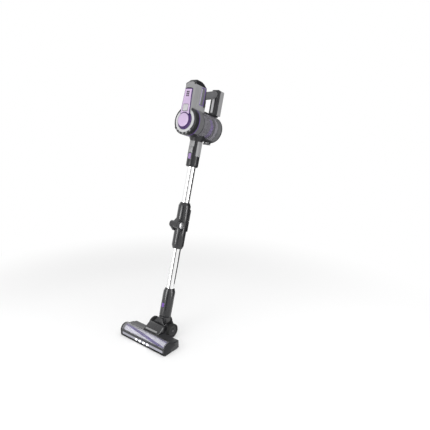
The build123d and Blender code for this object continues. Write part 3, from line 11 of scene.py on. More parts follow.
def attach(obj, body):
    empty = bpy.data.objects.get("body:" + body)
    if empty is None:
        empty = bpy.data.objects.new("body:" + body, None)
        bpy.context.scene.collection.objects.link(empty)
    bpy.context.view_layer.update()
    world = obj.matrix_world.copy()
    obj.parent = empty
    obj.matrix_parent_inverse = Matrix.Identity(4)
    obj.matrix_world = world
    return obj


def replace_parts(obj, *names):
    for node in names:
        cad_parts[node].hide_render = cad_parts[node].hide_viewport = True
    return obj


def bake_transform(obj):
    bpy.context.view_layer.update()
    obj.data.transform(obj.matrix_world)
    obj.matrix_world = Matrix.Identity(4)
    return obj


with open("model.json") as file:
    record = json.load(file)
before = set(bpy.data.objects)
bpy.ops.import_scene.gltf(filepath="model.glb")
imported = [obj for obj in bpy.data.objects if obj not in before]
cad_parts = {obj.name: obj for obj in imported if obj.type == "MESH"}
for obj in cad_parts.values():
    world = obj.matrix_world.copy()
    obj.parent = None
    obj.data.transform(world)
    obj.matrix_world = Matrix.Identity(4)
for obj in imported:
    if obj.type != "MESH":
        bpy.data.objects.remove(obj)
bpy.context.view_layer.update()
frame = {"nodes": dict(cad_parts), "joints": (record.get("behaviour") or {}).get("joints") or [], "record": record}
nodes = frame["nodes"]
joints = {joint["name"]: joint for joint in frame["joints"]}
MM = 0.001

# ---- Frames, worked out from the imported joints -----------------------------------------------
SIDE = Vector((1, 0, 0))
BACK = Vector(joints["neck_swivel"]["axis"]).normalized()
UP = SIDE.cross(BACK)
PIVOT = Vector(joints["neck_tilt"]["pos_m"])
FILTER_DOOR_Y = -95.0
DRUM = Vector(joints["filter_door_turn"]["pos_m"]) - BACK * FILTER_DOOR_Y * MM


def unit(x, y, z):
    """A point of the handheld unit: x sideways, y back along the drum, z up from its axis, in mm."""
    return DRUM + (SIDE * x + BACK * y + UP * z) * MM


def wand(x, y, d):
    """A point of the wand: x sideways, y behind its axis, d up from the tilt axle, in mm."""
    return PIVOT + (SIDE * x + BACK * y + UP * d) * MM


def floor_point(x, y, z):
    """A point of the brush head, in mm from the floor origin."""
    return Vector((x, y, z)) * MM


# ---- Camera ----------------------------------------------------------------------------------
CAMERA_PLACE = (1.2199, -1.1087, 0.9833)
CAMERA_TURN = 38.856
CAMERA_PITCH = 15.32
CAMERA_LENS = 36.17
CAMERA_SHIFT = -0.00118


def add_camera():
    data = bpy.data.cameras.new("camera")
    data.lens = CAMERA_LENS
    data.sensor_width = 36.0
    data.clip_start = 0.05
    data.shift_x = CAMERA_SHIFT
    camera = bpy.data.objects.new("camera", data)
    bpy.context.scene.collection.objects.link(camera)
    camera.location = CAMERA_PLACE
    camera.rotation_euler = (math.radians(90 - CAMERA_PITCH), 0, math.radians(CAMERA_TURN))
    bpy.context.scene.camera = camera


# ---- Light and floor -------------------------------------------------------------------------
FILL_STRENGTH = 0.5
BACKDROP_STRENGTH = 1.0


def add_world():
    """White behind the object and in its reflections, and a soft grey light from all round."""
    world = bpy.data.worlds.new("studio")
    bpy.context.scene.world = world
    world.use_nodes = True
    tree = world.node_tree
    tree.nodes.clear()
    out = tree.nodes.new("ShaderNodeOutputWorld")
    mix = tree.nodes.new("ShaderNodeMixShader")
    fill = tree.nodes.new("ShaderNodeBackground")
    fill.inputs["Color"].default_value = (1, 1, 1, 1)
    fill.inputs["Strength"].default_value = FILL_STRENGTH
    white = tree.nodes.new("ShaderNodeBackground")
    white.inputs["Color"].default_value = (1, 1, 1, 1)
    white.inputs["Strength"].default_value = BACKDROP_STRENGTH
    seen = rays(tree, "Is Camera Ray", "Is Transmission Ray", "Is Glossy Ray")
    tree.links.new(seen, mix.inputs[0])
    tree.links.new(fill.outputs[0], mix.inputs[1])
    tree.links.new(white.outputs[0], mix.inputs[2])
    tree.links.new(mix.outputs[0], out.inputs[0])


def area_light(name, place, target, size, power, shadow):
    data = bpy.data.lights.new(name, "AREA")
    data.use_shadow = shadow
    data.shape = "RECTANGLE"
    data.size, data.size_y = size
    data.energy = power
    lamp = bpy.data.objects.new(name, data)
    bpy.context.scene.collection.objects.link(lamp)
    lamp.location = place
    lamp.rotation_euler = (Vector(target) - Vector(place)).to_track_quat("-Z", "Y").to_euler()


# Each light: name, place, target, size, power in watts, whether it casts shadows.
LIGHTS = (
    ("key", (-0.6, -2.5, 1.9), (0, 0.15, 0.5), (1.8, 1.5), 14, True),
    ("strip_left", (-0.5, -1.8, 0.95), (0, 0.15, 0.6), (0.42, 1.7), 22, False),
    ("strip_right", (1.95, 0.4, 0.95), (0, 0.15, 0.6), (0.42, 1.7), 20, False),
    ("top", (0.1, 1.0, 2.6), (0, 0.1, 0), (1.6, 1.6), 17, True),
)


def add_lights():
    for light in LIGHTS:
        area_light(*light)


def rays(tree, *kinds):
    """1 for rays of any of the named kinds, 0 for the rest."""
    path = tree.nodes.new("ShaderNodeLightPath")
    total = path.outputs[kinds[0]]
    for kind in kinds[1:]:
        either = tree.nodes.new("ShaderNodeMath")
        either.operation = "MAXIMUM"
        tree.links.new(total, either.inputs[0])
        tree.links.new(path.outputs[kind], either.inputs[1])
        total = either.outputs[0]
    return total


def sheet(name, corners, material):
    """A flat piece of the studio."""
    mesh = bpy.data.meshes.new(name)
    mesh.from_pydata(corners, [], [(0, 1, 2, 3)])
    mesh.materials.append(material)
    form = bpy.data.objects.new(name, mesh)
    bpy.context.scene.collection.objects.link(form)
    return form


FLOOR_LIFT = 0.06
FLOOR_NEAR = 0.75
FLOOR_FAR = 1.5
FLOOR_GREY = 0.88
FLOOR_REACH = 12.0


def add_floor():
    """White for the camera and reflections, and matt near the object, where it keeps the shadow."""
    material = bpy.data.materials.new("floor_white")
    material.use_nodes = True
    tree = material.node_tree
    tree.nodes.clear()
    out = tree.nodes.new("ShaderNodeOutputMaterial")
    add = tree.nodes.new("ShaderNodeAddShader")
    matt = tree.nodes.new("ShaderNodeBsdfDiffuse")
    matt.inputs["Color"].default_value = (FLOOR_GREY, FLOOR_GREY, FLOOR_GREY, 1)
    lift = tree.nodes.new("ShaderNodeEmission")
    plain = tree.nodes.new("ShaderNodeEmission")
    seen = rays(tree, "Is Camera Ray", "Is Glossy Ray", "Is Transmission Ray")
    level = tree.nodes.new("ShaderNodeMath")
    level.operation = "MULTIPLY"
    level.inputs[1].default_value = FLOOR_LIFT
    tree.links.new(seen, level.inputs[0])
    tree.links.new(level.outputs[0], lift.inputs["Strength"])
    tree.links.new(matt.outputs[0], add.inputs[0])
    tree.links.new(lift.outputs[0], add.inputs[1])
    place = tree.nodes.new("ShaderNodeTexCoord")
    distance = tree.nodes.new("ShaderNodeVectorMath")
    distance.operation = "LENGTH"
    tree.links.new(place.outputs["Object"], distance.inputs[0])
    far = tree.nodes.new("ShaderNodeMapRange")
    far.interpolation_type = "SMOOTHSTEP"
    far.inputs["From Min"].default_value = FLOOR_NEAR
    far.inputs["From Max"].default_value = FLOOR_FAR
    tree.links.new(distance.outputs["Value"], far.inputs["Value"])
    white = tree.nodes.new("ShaderNodeMath")
    white.operation = "MULTIPLY"
    tree.links.new(far.outputs["Result"], white.inputs[0])
    tree.links.new(seen, white.inputs[1])
    mix = tree.nodes.new("ShaderNodeMixShader")
    tree.links.new(white.outputs[0], mix.inputs[0])
    tree.links.new(add.outputs[0], mix.inputs[1])
    tree.links.new(plain.outputs[0], mix.inputs[2])
    tree.links.new(mix.outputs[0], out.inputs[0])
    corners = [
        (side * FLOOR_REACH, depth * FLOOR_REACH, 0) for side, depth in ((-1, -1), (1, -1), (1, 1), (-1, 1))
    ]
    sheet("floor", corners, material)


FLAG_GREY = 0.06
FLAG_CENTRE = Vector((0, 0.2, 0))
# Each flag: name, direction in degrees, distance, width and height in metres.
FLAGS = (
    ("flag_left", -65.0, 1.6, 0.6, 2.0),
    ("flag_right", 79.0, 0.62, 1.5, 2.0),
    ("flag_low", 79.0, 0.3, 0.72, 0.55),
)


def add_flags():
    """Dark cards that only reflections see, for the grey lines down the bright metal."""
    material = bpy.data.materials.new("flag_black")
    material.use_nodes = True
    shader = material.node_tree.nodes["Principled BSDF"]
    shader.inputs["Base Color"].default_value = (FLAG_GREY, FLAG_GREY, FLAG_GREY, 1)
    shader.inputs["Roughness"].default_value = 1.0
    for name, degrees, distance, width, height in FLAGS:
        turn = math.radians(degrees)
        centre = Vector((math.cos(turn), math.sin(turn), 0)) * distance
        centre += FLAG_CENTRE
        across = Vector((-math.sin(turn), math.cos(turn), 0)) * width / 2
        rise = Vector((0, 0, height))
        corners = [centre - across, centre + across, centre + across + rise, centre - across + rise]
        flag = sheet(name, corners, material)
        flag.visible_camera = False
        flag.visible_diffuse = False
        flag.visible_transmission = False
        flag.visible_shadow = False


# ---- Materials -------------------------------------------------------------------------------
def new_material(name):
    material = bpy.data.materials.new(name)
    material.use_nodes = True
    tree = material.node_tree
    shader = tree.nodes["Principled BSDF"]
    where = tree.nodes.new("ShaderNodeTexCoord")
    return material, tree, shader, where.outputs["Object"]


def noise(tree, where, scale, detail=3.0, stretch=None):
    """Noise over the object's own coordinates, with stretch squeezing it along some directions."""
    node = tree.nodes.new("ShaderNodeTexNoise")
    node.inputs["Scale"].default_value = scale
    node.inputs["Detail"].default_value = detail
    if stretch:
        mapping = tree.nodes.new("ShaderNodeMapping")
        mapping.inputs["Scale"].default_value = stretch
        tree.links.new(where, mapping.inputs["Vector"])
        where = mapping.outputs["Vector"]
    tree.links.new(where, node.inputs["Vector"])
    return node.outputs["Fac"]


NOISE_LOW = 0.3
NOISE_HIGH = 0.7


def spread(tree, value, low, high):
    """A 0 to 1 value drawn out to run from low to high."""
    node = tree.nodes.new("ShaderNodeMapRange")
    node.inputs["From Min"].default_value = NOISE_LOW
    node.inputs["From Max"].default_value = NOISE_HIGH
    node.inputs["To Min"].default_value = low
    node.inputs["To Max"].default_value = high
    tree.links.new(value, node.inputs["Value"])
    return node.outputs["Result"]


def blend_colours(tree, factor, first, second):
    node = tree.nodes.new("ShaderNodeMix")
    node.data_type = "RGBA"
    node.inputs["A"].default_value = (*first, 1)
    node.inputs["B"].default_value = (*second, 1)
    tree.links.new(factor, node.inputs["Factor"])
    return node.outputs["Result"]


def mottle(tree, shader, pattern, first, second):
    """A base colour that runs from first to second with a pattern."""
    mixed = blend_colours(tree, spread(tree, pattern, 0, 1), first, second)
    tree.links.new(mixed, shader.inputs["Base Color"])


def bump(tree, shader, height, strength, distance):
    node = tree.nodes.new("ShaderNodeBump")
    node.inputs["Strength"].default_value = strength
    node.inputs["Distance"].default_value = distance
    tree.links.new(height, node.inputs["Height"])
    tree.links.new(node.outputs["Normal"], shader.inputs["Normal"])


def shade(colour, factor):
    return tuple(min(1.0, channel * factor) for channel in colour)


WEAR_START = 0.53
WEAR_FULL = 0.62
WEAR_SHARE = 0.35
COAT_ROUGHNESS = 0.16


def plastic(name, colour, rough, grain=0.25, grain_scale=2600.0, coat=0.0, metallic=0.0, shine=0.3):
    """Moulded plastic: fine spark grain, faint cloudiness, handling marks and paler worn edges."""
    material, tree, shader, where = new_material(name)
    cloud = noise(tree, where, 14.0, 4.0)
    marks = noise(tree, where, 160.0, 6.0, (1.0, 0.35, 1.0))
    geometry = tree.nodes.new("ShaderNodeNewGeometry")
    edge = tree.nodes.new("ShaderNodeMapRange")
    edge.inputs["From Min"].default_value = WEAR_START
    edge.inputs["From Max"].default_value = WEAR_FULL
    edge.inputs["To Max"].default_value = WEAR_SHARE
    tree.links.new(geometry.outputs["Pointiness"], edge.inputs["Value"])
    base = blend_colours(tree, spread(tree, cloud, 0, 1), shade(colour, 0.94), shade(colour, 1.06))
    worn = tree.nodes.new("ShaderNodeMix")
    worn.data_type = "RGBA"
    worn.inputs["B"].default_value = (*shade(colour, 1.5), 1)
    tree.links.new(edge.outputs["Result"], worn.inputs["Factor"])
    tree.links.new(base, worn.inputs["A"])
    tree.links.new(worn.outputs["Result"], shader.inputs["Base Color"])
    tree.links.new(spread(tree, marks, rough * 0.85, rough * 1.15), shader.inputs["Roughness"])
    shader.inputs["Metallic"].default_value = metallic
    shader.inputs["Specular IOR Level"].default_value = shine
    shader.inputs["Coat Weight"].default_value = coat
    shader.inputs["Coat Roughness"].default_value = COAT_ROUGHNESS
    bump(tree, shader, noise(tree, where, grain_scale, 2.0), grain, 0.00008)
    return material


def metal(name, colour, rough, along, anisotropic=0.5):
    """Drawn or turned metal: hairlines along one direction and small roughness changes."""
    material, tree, shader, where = new_material(name)
    mapping_scale = tuple(0.02 if abs(component) > 0.7 else 1.0 for component in along)
    hairs = noise(tree, where, 1800.0, 3.0, mapping_scale)
    smear = noise(tree, where, 30.0, 4.0)
    mottle(tree, shader, smear, shade(colour, 0.95), colour)
    tree.links.new(spread(tree, hairs, rough * 0.75, rough * 1.3), shader.inputs["Roughness"])
    shader.inputs["Metallic"].default_value = 1.0
    shader.inputs["Anisotropic"].default_value = anisotropic
    bump(tree, shader, hairs, 0.12, 0.00003)
    return material


def clear(name, colour, rough=0.06, weight=0.85, ior=1.2):
    """Clear moulded plastic with a faint tint, light scuffs and a little dust."""
    material, tree, shader, where = new_material(name)
    scuffs = noise(tree, where, 240.0, 6.0, (1.0, 0.2, 1.0))
    haze = noise(tree, where, 22.0, 3.0)
    mottle(tree, shader, haze, shade(colour, 0.92), colour)
    tree.links.new(spread(tree, scuffs, rough * 0.6, rough * 1.8), shader.inputs["Roughness"])
    shader.inputs["Transmission Weight"].default_value = weight
    shader.inputs["IOR"].default_value = ior
    bump(tree, shader, scuffs, 0.02, 0.00003)
    return material


def cloth(name, colour, second, scale=900.0):
    """Short soft pile: two tones at fibre scale, with a sheen."""
    material, tree, shader, where = new_material(name)
    fibres = noise(tree, where, scale, 4.0)
    mottle(tree, shader, fibres, colour, second)
    shader.inputs["Roughness"].default_value = 0.9
    shader.inputs["Sheen Weight"].default_value = 0.15
    bump(tree, shader, fibres, 0.6, 0.0004)
    return material


def glow(name, colour, strength):
    """A lamp lens that is lit from behind, with a faint moulded ripple."""
    material, tree, shader, where = new_material(name)
    ripple = noise(tree, where, 700.0, 2.0)
    mottle(tree, shader, ripple, shade(colour, 0.9), colour)
    shader.inputs["Roughness"].default_value = 0.2
    shader.inputs["Emission Color"].default_value = (*colour, 1)
    shader.inputs["Emission Strength"].default_value = strength
    bump(tree, shader, ripple, 0.2, 0.0002)
    return material


WAND_LINE = tuple(UP)
materials = {
    "column_grey": plastic("column_grey", (0.27, 0.27, 0.275), 0.4, coat=0.05),
    "light_grey": plastic("light_grey", (0.55, 0.55, 0.56), 0.36, coat=0.05),
    "mid_grey": plastic("mid_grey", (0.13, 0.13, 0.135), 0.32, coat=0.2),
    "charcoal": plastic("charcoal", (0.018, 0.018, 0.02), 0.36, coat=0.2),
    "gloss_dark": plastic("gloss_dark", (0.012, 0.012, 0.014), 0.4, grain=0.1, coat=0.05, shine=0.2),
    "joint_dark": plastic("joint_dark", (0.016, 0.016, 0.018), 0.3, coat=0.6),
    "head_dark": plastic("head_dark", (0.036, 0.036, 0.038), 0.34, coat=0.15),
    "dark_purple": plastic("dark_purple", (0.05, 0.018, 0.11), 0.22, grain=0.06, coat=0.4),
    "lavender": plastic("lavender", (0.56, 0.43, 0.63), 0.26, grain=0.06, coat=0.25),
    "purple": plastic("purple", (0.17, 0.075, 0.38), 0.3, grain=0.1, coat=0.3),
    "smoke_clear": clear("smoke_clear", (0.46, 0.45, 0.48)),
    "window_clear": clear("window_clear", (0.86, 0.86, 0.9), weight=0.95, ior=1.45),
    "tube_metal": metal("tube_metal", (0.9, 0.9, 0.9), 0.08, WAND_LINE),
    "steel": metal("steel", (0.55, 0.55, 0.56), 0.28, (1, 0, 0)),
    "bright_cap": metal("bright_cap", (0.8, 0.8, 0.82), 0.3, (0, 0, 1), 0.0),
    "silver_button": plastic("silver_button", (0.5, 0.49, 0.51), 0.34, metallic=0.2, coat=0.1),
    "rubber": plastic("rubber", (0.015, 0.015, 0.015), 0.7, grain=0.5, grain_scale=1800),
    "wheel_dark": plastic("wheel_dark", (0.03, 0.03, 0.032), 0.55, grain=0.4, grain_scale=1800),
    "light_strip": plastic("light_strip", (0.35, 0.35, 0.4), 0.35, coat=0.3),
    "lamp": glow("lamp", (1.0, 1.0, 1.0), 3.0),
    "roller_pale": cloth("roller_pale", (0.35, 0.345, 0.375), (0.52, 0.51, 0.545)),
    "bristle_purple": cloth("bristle_purple", (0.02, 0.007, 0.09), (0.055, 0.02, 0.19)),
    "filter_paper": cloth("filter_paper", (0.7, 0.7, 0.66), (0.8, 0.8, 0.77)),
    "button_lilac": plastic("button_lilac", (0.33, 0.22, 0.46), 0.3, coat=0.2),
    "board_green": plastic("board_green", (0.02, 0.12, 0.05), 0.35),
    "cell_wrap": plastic("cell_wrap", (0.05, 0.12, 0.3), 0.3),
}
slot_of = {part["node"]: part["material_slot"] for part in frame["record"]["subparts"]}
body_of = {
    name: body for body, members in frame["record"]["behaviour"]["bodies"].items() for name in members
}


def dress_nodes():
    """Every CAD node takes its slot's detailed material."""
    for name, node in nodes.items():
        node.data.materials.clear()
        node.data.materials.append(materials[slot_of[name]])


# ---- Piece helpers ---------------------------------------------------------------------------
def add_piece(name, mesh, body, slot):
    """Link a mesh as a piece that wears a slot's material and rides on a body, if one is given."""
    piece = bpy.data.objects.new(name, mesh)
    bpy.context.scene.collection.objects.link(piece)
    mesh.materials.clear()
    mesh.materials.append(materials[slot])
    if body:
        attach(piece, body)
    return piece


SMOOTH_ANGLE = 32.0


def smooth_by_angle(mesh, degrees=SMOOTH_ANGLE):
    """Smooth shading, with edges sharper than the angle kept crisp."""
    for face in mesh.polygons:
        face.use_smooth = True
    mesh.set_sharp_from_angle(angle=math.radians(degrees))


def piece_from(form, name, body, slot, degrees=SMOOTH_ANGLE):
    """A finished bmesh as a smooth-shaded piece. The bmesh is freed."""
    mesh = bpy.data.meshes.new(name)
    form.to_mesh(mesh)
    form.free()
    smooth_by_angle(mesh, degrees)
    return add_piece(name, mesh, body, slot)


def skin(form, first, second):
    """Faces between two closed rows of the same count of points."""
    size = len(first)
    for k in range(size):
        form.faces.new((first[k], first[(k + 1) % size], second[(k + 1) % size], second[k]))


BEVEL_PROFILE = 0.6


def bevel_sharp(form, width, segments=2, degrees=30.0):
    """Round every edge of a bmesh that is sharper than the angle, by width in mm."""
    sharp = [
        edge
        for edge in form.edges
        if len(edge.link_faces) == 2 and edge.calc_face_angle(0) > math.radians(degrees)
    ]
    bmesh.ops.bevel(
        form, geom=sharp, offset=width * MM, segments=segments, profile=BEVEL_PROFILE, affect="EDGES",
        clamp_overlap=False,
    )


FINE_EDGE = 4.0


def soften(form, rounds, is_near, move):
    """Cut the faces where is_near(edge) holds to fine ones, then put every point where move sends it."""
    bmesh.ops.triangulate(form, faces=form.faces)
    for _ in range(rounds):
        coarse = [edge for edge in form.edges if edge.calc_length() > FINE_EDGE * MM and is_near(edge)]
        if not coarse:
            break
        bmesh.ops.subdivide_edges(form, edges=coarse, cuts=1)
        bmesh.ops.triangulate(form, faces=[face for face in form.faces if len(face.verts) > 3])
    for vert in form.verts:
        vert.co = move(vert.co)


SHOULDER_DROP = 13.0
SHOULDER_START = 8.0
SHOULDER_LOW = 145.0
SHOULDER_HIGH = 172.0
SHOULDER_CUT = 140.0
SHOULDER_POWER = 2.2
COLUMN_HALF = 27.0


def shoulder(point):
    """A point of the column, let down towards its sides near the top, where its shoulders are round."""
    place = (point - DRUM) / MM
    out = (abs(place.dot(SIDE)) - SHOULDER_START) / (COLUMN_HALF - SHOULDER_START)
    height = (place.dot(UP) - SHOULDER_LOW) / (SHOULDER_HIGH - SHOULDER_LOW)
    height = min(1.0, max(0.0, height))
    drop = SHOULDER_DROP * max(0.0, out) ** SHOULDER_POWER * height * height * (3 - 2 * height)
    return point - UP * drop * MM


def soft_shoulders(form):
    """Round the column's shoulders."""
    def is_near(edge):
        return max((vert.co - DRUM).dot(UP) for vert in edge.verts) > SHOULDER_CUT * MM

    soften(form, 4, is_near, shoulder)


HEAD_HALF = 133.2
HEAD_REAR = 4.0
HEAD_ROUND = 12.0


def head_corner(point):
    """A point of the brush head, drawn in where its rear corners are round in plan."""
    out = abs(point.x) / MM - (HEAD_HALF - HEAD_ROUND)
    back = point.y / MM - (HEAD_REAR - HEAD_ROUND)
    if out <= 0 or back <= 0:
        return point
    share = max(out, back) / math.hypot(out, back)
    side = math.copysign(HEAD_HALF - HEAD_ROUND + out * share, point.x)
    return Vector((side * MM, (HEAD_REAR - HEAD_ROUND + back * share) * MM, point.z))


def soft_corners(form):
    """Round the brush head's rear corners."""
    def is_near(edge):
        return (
            max(abs(vert.co.x) for vert in edge.verts) > (HEAD_HALF - HEAD_ROUND) * MM
            and max(vert.co.y for vert in edge.verts) > (HEAD_REAR - HEAD_ROUND) * MM
        )

    soften(form, 6, is_near, head_corner)


SOFTENED = {
    "front_shell": soft_shoulders, "rear_shell": soft_shoulders, "top_cap": soft_shoulders,
    "head_base": soft_corners, "head_cover": soft_corners,
}
NODE_MERGE = 0.000002
LATHE_MERGE = 0.0000005
FLAT_ANGLE = 0.6


def rounded(node_name, width, slot=None):
    """A copy of a CAD node with its sharp edges rounded, standing in its place."""
    mesh = nodes[node_name].data.copy()
    form = bmesh.new()
    form.from_mesh(mesh)
    bmesh.ops.remove_doubles(form, verts=form.verts, dist=NODE_MERGE)
    flat = math.radians(FLAT_ANGLE)
    bmesh.ops.dissolve_limit(form, angle_limit=flat, verts=form.verts, edges=form.edges)
    bevel_sharp(form, width)
    bmesh.ops.triangulate(form, faces=[face for face in form.faces if len(face.verts) > 4])
    if node_name in SOFTENED:
        SOFTENED[node_name](form)
    form.to_mesh(mesh)
    form.free()
    smooth_by_angle(mesh)
    piece = add_piece(node_name + "_rounded", mesh, body_of[node_name], slot or slot_of[node_name])
    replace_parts(piece, node_name)
    return piece


def lathe(name, body, slot, place, profile, start=0.0, sweep=360.0, steps=96):
    """A turned piece. Its closed profile is in (along, radius); place takes (along, side, rise)."""
    form = bmesh.new()
    closed = abs(sweep - 360.0) < 0.01
    count = steps if closed else steps + 1
    rings = []
    for step in range(count):
        angle = math.radians(start + sweep * step / steps)
        rings.append([
            form.verts.new(place(along, radius * math.sin(angle), radius * math.cos(angle)))
            for along, radius in profile
        ])
    for step in range(steps):
        skin(form, rings[step], rings[(step + 1) % count])
    if not closed:
        form.faces.new(rings[0])
        form.faces.new(rings[-1])
    bmesh.ops.remove_doubles(form, verts=form.verts, dist=LATHE_MERGE)
    bmesh.ops.recalc_face_normals(form, faces=form.faces)
    return piece_from(form, name, body, slot)


def drum_place(along, side, rise):
    return unit(side, along, rise)


def wand_place(along, side, rise):
    return wand(side, -rise, along)


def slabs(name, body, slot, blocks, bevel=0.4, segments=2):
    """Flat pieces in one mesh: each block is (place, outline, low, high), with rounded edges."""
    form = bmesh.new()
    for place, outline, low, high in blocks:
        base = [form.verts.new(place(a, b, low)) for a, b in outline]
        top = [form.verts.new(place(a, b, high)) for a, b in outline]
        form.faces.new(base)
        form.faces.new(top)
        skin(form, base, top)
    bmesh.ops.recalc_face_normals(form, faces=form.faces)
    if bevel:
        bevel_sharp(form, bevel, segments)
    return piece_from(form, name, body, slot)


def round_box(half_a, half_b, corner, steps=6, middle=(0.0, 0.0)):
    """The outline of a rectangle with round corners."""
    points = []
    for centre_a, centre_b, turn in (
        (half_a - corner, half_b - corner, 0),
        (corner - half_a, half_b - corner, 90),
        (corner - half_a, corner - half_b, 180),
        (half_a - corner, corner - half_b, 270),
    ):
        for step in range(steps + 1):
            angle = math.radians(turn + 90 * step / steps)
            points.append((
                middle[0] + centre_a + corner * math.cos(angle),
                middle[1] + centre_b + corner * math.sin(angle),
            ))
    return points


def column_place(a, b, c):
    """a sideways, b up, c back along the drum."""
    return unit(a, c, b)


def rail_place(a, b, c):
    """a sideways, b back along the drum, c up."""
    return unit(a, b, c)


def ring_place(radius, turn, y_middle):
    """On the drum's skin: a around it, b along it, c out from it. Turn runs from straight up to +X."""
    def place(a, b, c):
        angle = math.radians(turn) + a / radius
        return unit((radius + c) * math.sin(angle), y_middle + b, (radius + c) * math.cos(angle))

    return place


def band(name, body, slot, place, outer, inner, low, high, bevel=0.2):
    """A flat frame between two outlines of the same count of points."""
    form = bmesh.new()
    rows = []
    for outline, level in ((outer, low), (outer, high), (inner, high), (inner, low)):
        rows.append([form.verts.new(place(a, b, level)) for a, b in outline])
    size = len(outer)
    for k in range(size):
        for row in range(4):
            first, second = rows[row], rows[(row + 1) % 4]
            form.faces.new((first[k], first[(k + 1) % size], second[(k + 1) % size], second[k]))
    bmesh.ops.recalc_face_normals(form, faces=form.faces)
    if bevel:
        bevel_sharp(form, bevel, 1, 60)
    return piece_from(form, name, body, slot)


SCREW_STEPS = 16
SCREW_DOME = ((1.0, -0.3), (1.0, 0.1), (0.8, 0.42), (0.45, 0.56))
SLOT_LONG = 0.42
SLOT_SHORT = 0.13
SLOT_LIFT = 0.58
SLOT_DEPTH = 0.45


def screws(name, body, spots, radius=2.1):
    """Small domed screws with cross slots. The spots are (centre, outward direction)."""
    form = bmesh.new()
    for centre, outward in spots:
        outward = Vector(outward).normalized()
        across = outward.orthogonal().normalized()
        beside = outward.cross(across)

        def rim(share_at, lift):
            points = []
            for k in range(SCREW_STEPS):
                angle = 2 * math.pi * k / SCREW_STEPS
                ray = across * math.cos(angle) + beside * math.sin(angle)
                points.append(form.verts.new(centre + ray * radius * share_at(k) * MM + outward * lift * MM))
            return points

        rows = [rim(lambda k, share=share: share, lift) for share, lift in SCREW_DOME]
        for row in range(len(rows) - 1):
            skin(form, rows[row], rows[row + 1])
        slot = rim(lambda k: SLOT_LONG if k % 4 == 0 else SLOT_SHORT, SLOT_LIFT)
        sunk = [form.verts.new(vert.co - outward * SLOT_DEPTH * MM) for vert in slot]
        skin(form, rows[-1], slot)
        skin(form, slot, sunk)
        form.faces.new(sunk)
    bmesh.ops.recalc_face_normals(form, faces=form.faces)
    return piece_from(form, name, body, "steel", 40)


# ---- Rounded forms of the CAD nodes ----------------------------------------------------------
EDGE_WIDTHS = {
    "front_shell": 1.2, "rear_shell": 0.8, "top_cap": 1.0, "stripe_base": 0.5, "stripe_panel": 0.6,
    "mode_button": 0.5, "side_panels": 0.4, "motor_drum": 0.6, "motor_collar": 0.4, "ring_trim": 0.5,
    "filter_cap": 0.6, "cup_rear_ring": 0.5, "cup_lid": 0.7, "lid_latch": 0.5, "cup_rail": 0.7,
    "handle_grip": 0.6, "handle_post": 1.4, "battery_rear_case": 1.6,
    "trigger": 0.9, "inlet_tube": 0.7, "inlet_plates": 0.3, "inlet_button": 0.5,
    "fold_lower_housing": 0.8, "fold_upper_housing": 0.8, "fold_latch": 0.7, "fold_pin": 0.5,
    "neck_socket": 0.9, "neck_button": 0.5, "yoke": 0.9, "swivel_pin": 0.3, "center_cover": 1.6,
    "head_base": 0.7, "head_cover": 0.9, "bumper": 0.6, "led_strip": 0.3, "led_lamps": 0.4,
    "wheel_axle": 0.3,
}
OTHER_SLOTS = {
    "inlet_plates": "column_grey", "inlet_button": "lavender", "fold_latch": "gloss_dark",
    "handle_grip": "mid_grey", "cup_rear_ring": "mid_grey", "battery_rear_case": "column_grey",
    "lid_latch": "mid_grey",
}


# ---- Handheld unit ---------------------------------------------------------------------------
CAP_FRONT = -102.5
DRUM_RADIUS = 58.0
COLUMN_FRONT = -97.5
STRIPE_FRONT = -101.5


def column_side(rise):
    """How far the column's side stands from its middle at a height."""
    return COLUMN_HALF if rise > 120 else 25.0 + 2.0 * (rise - 24) / 96


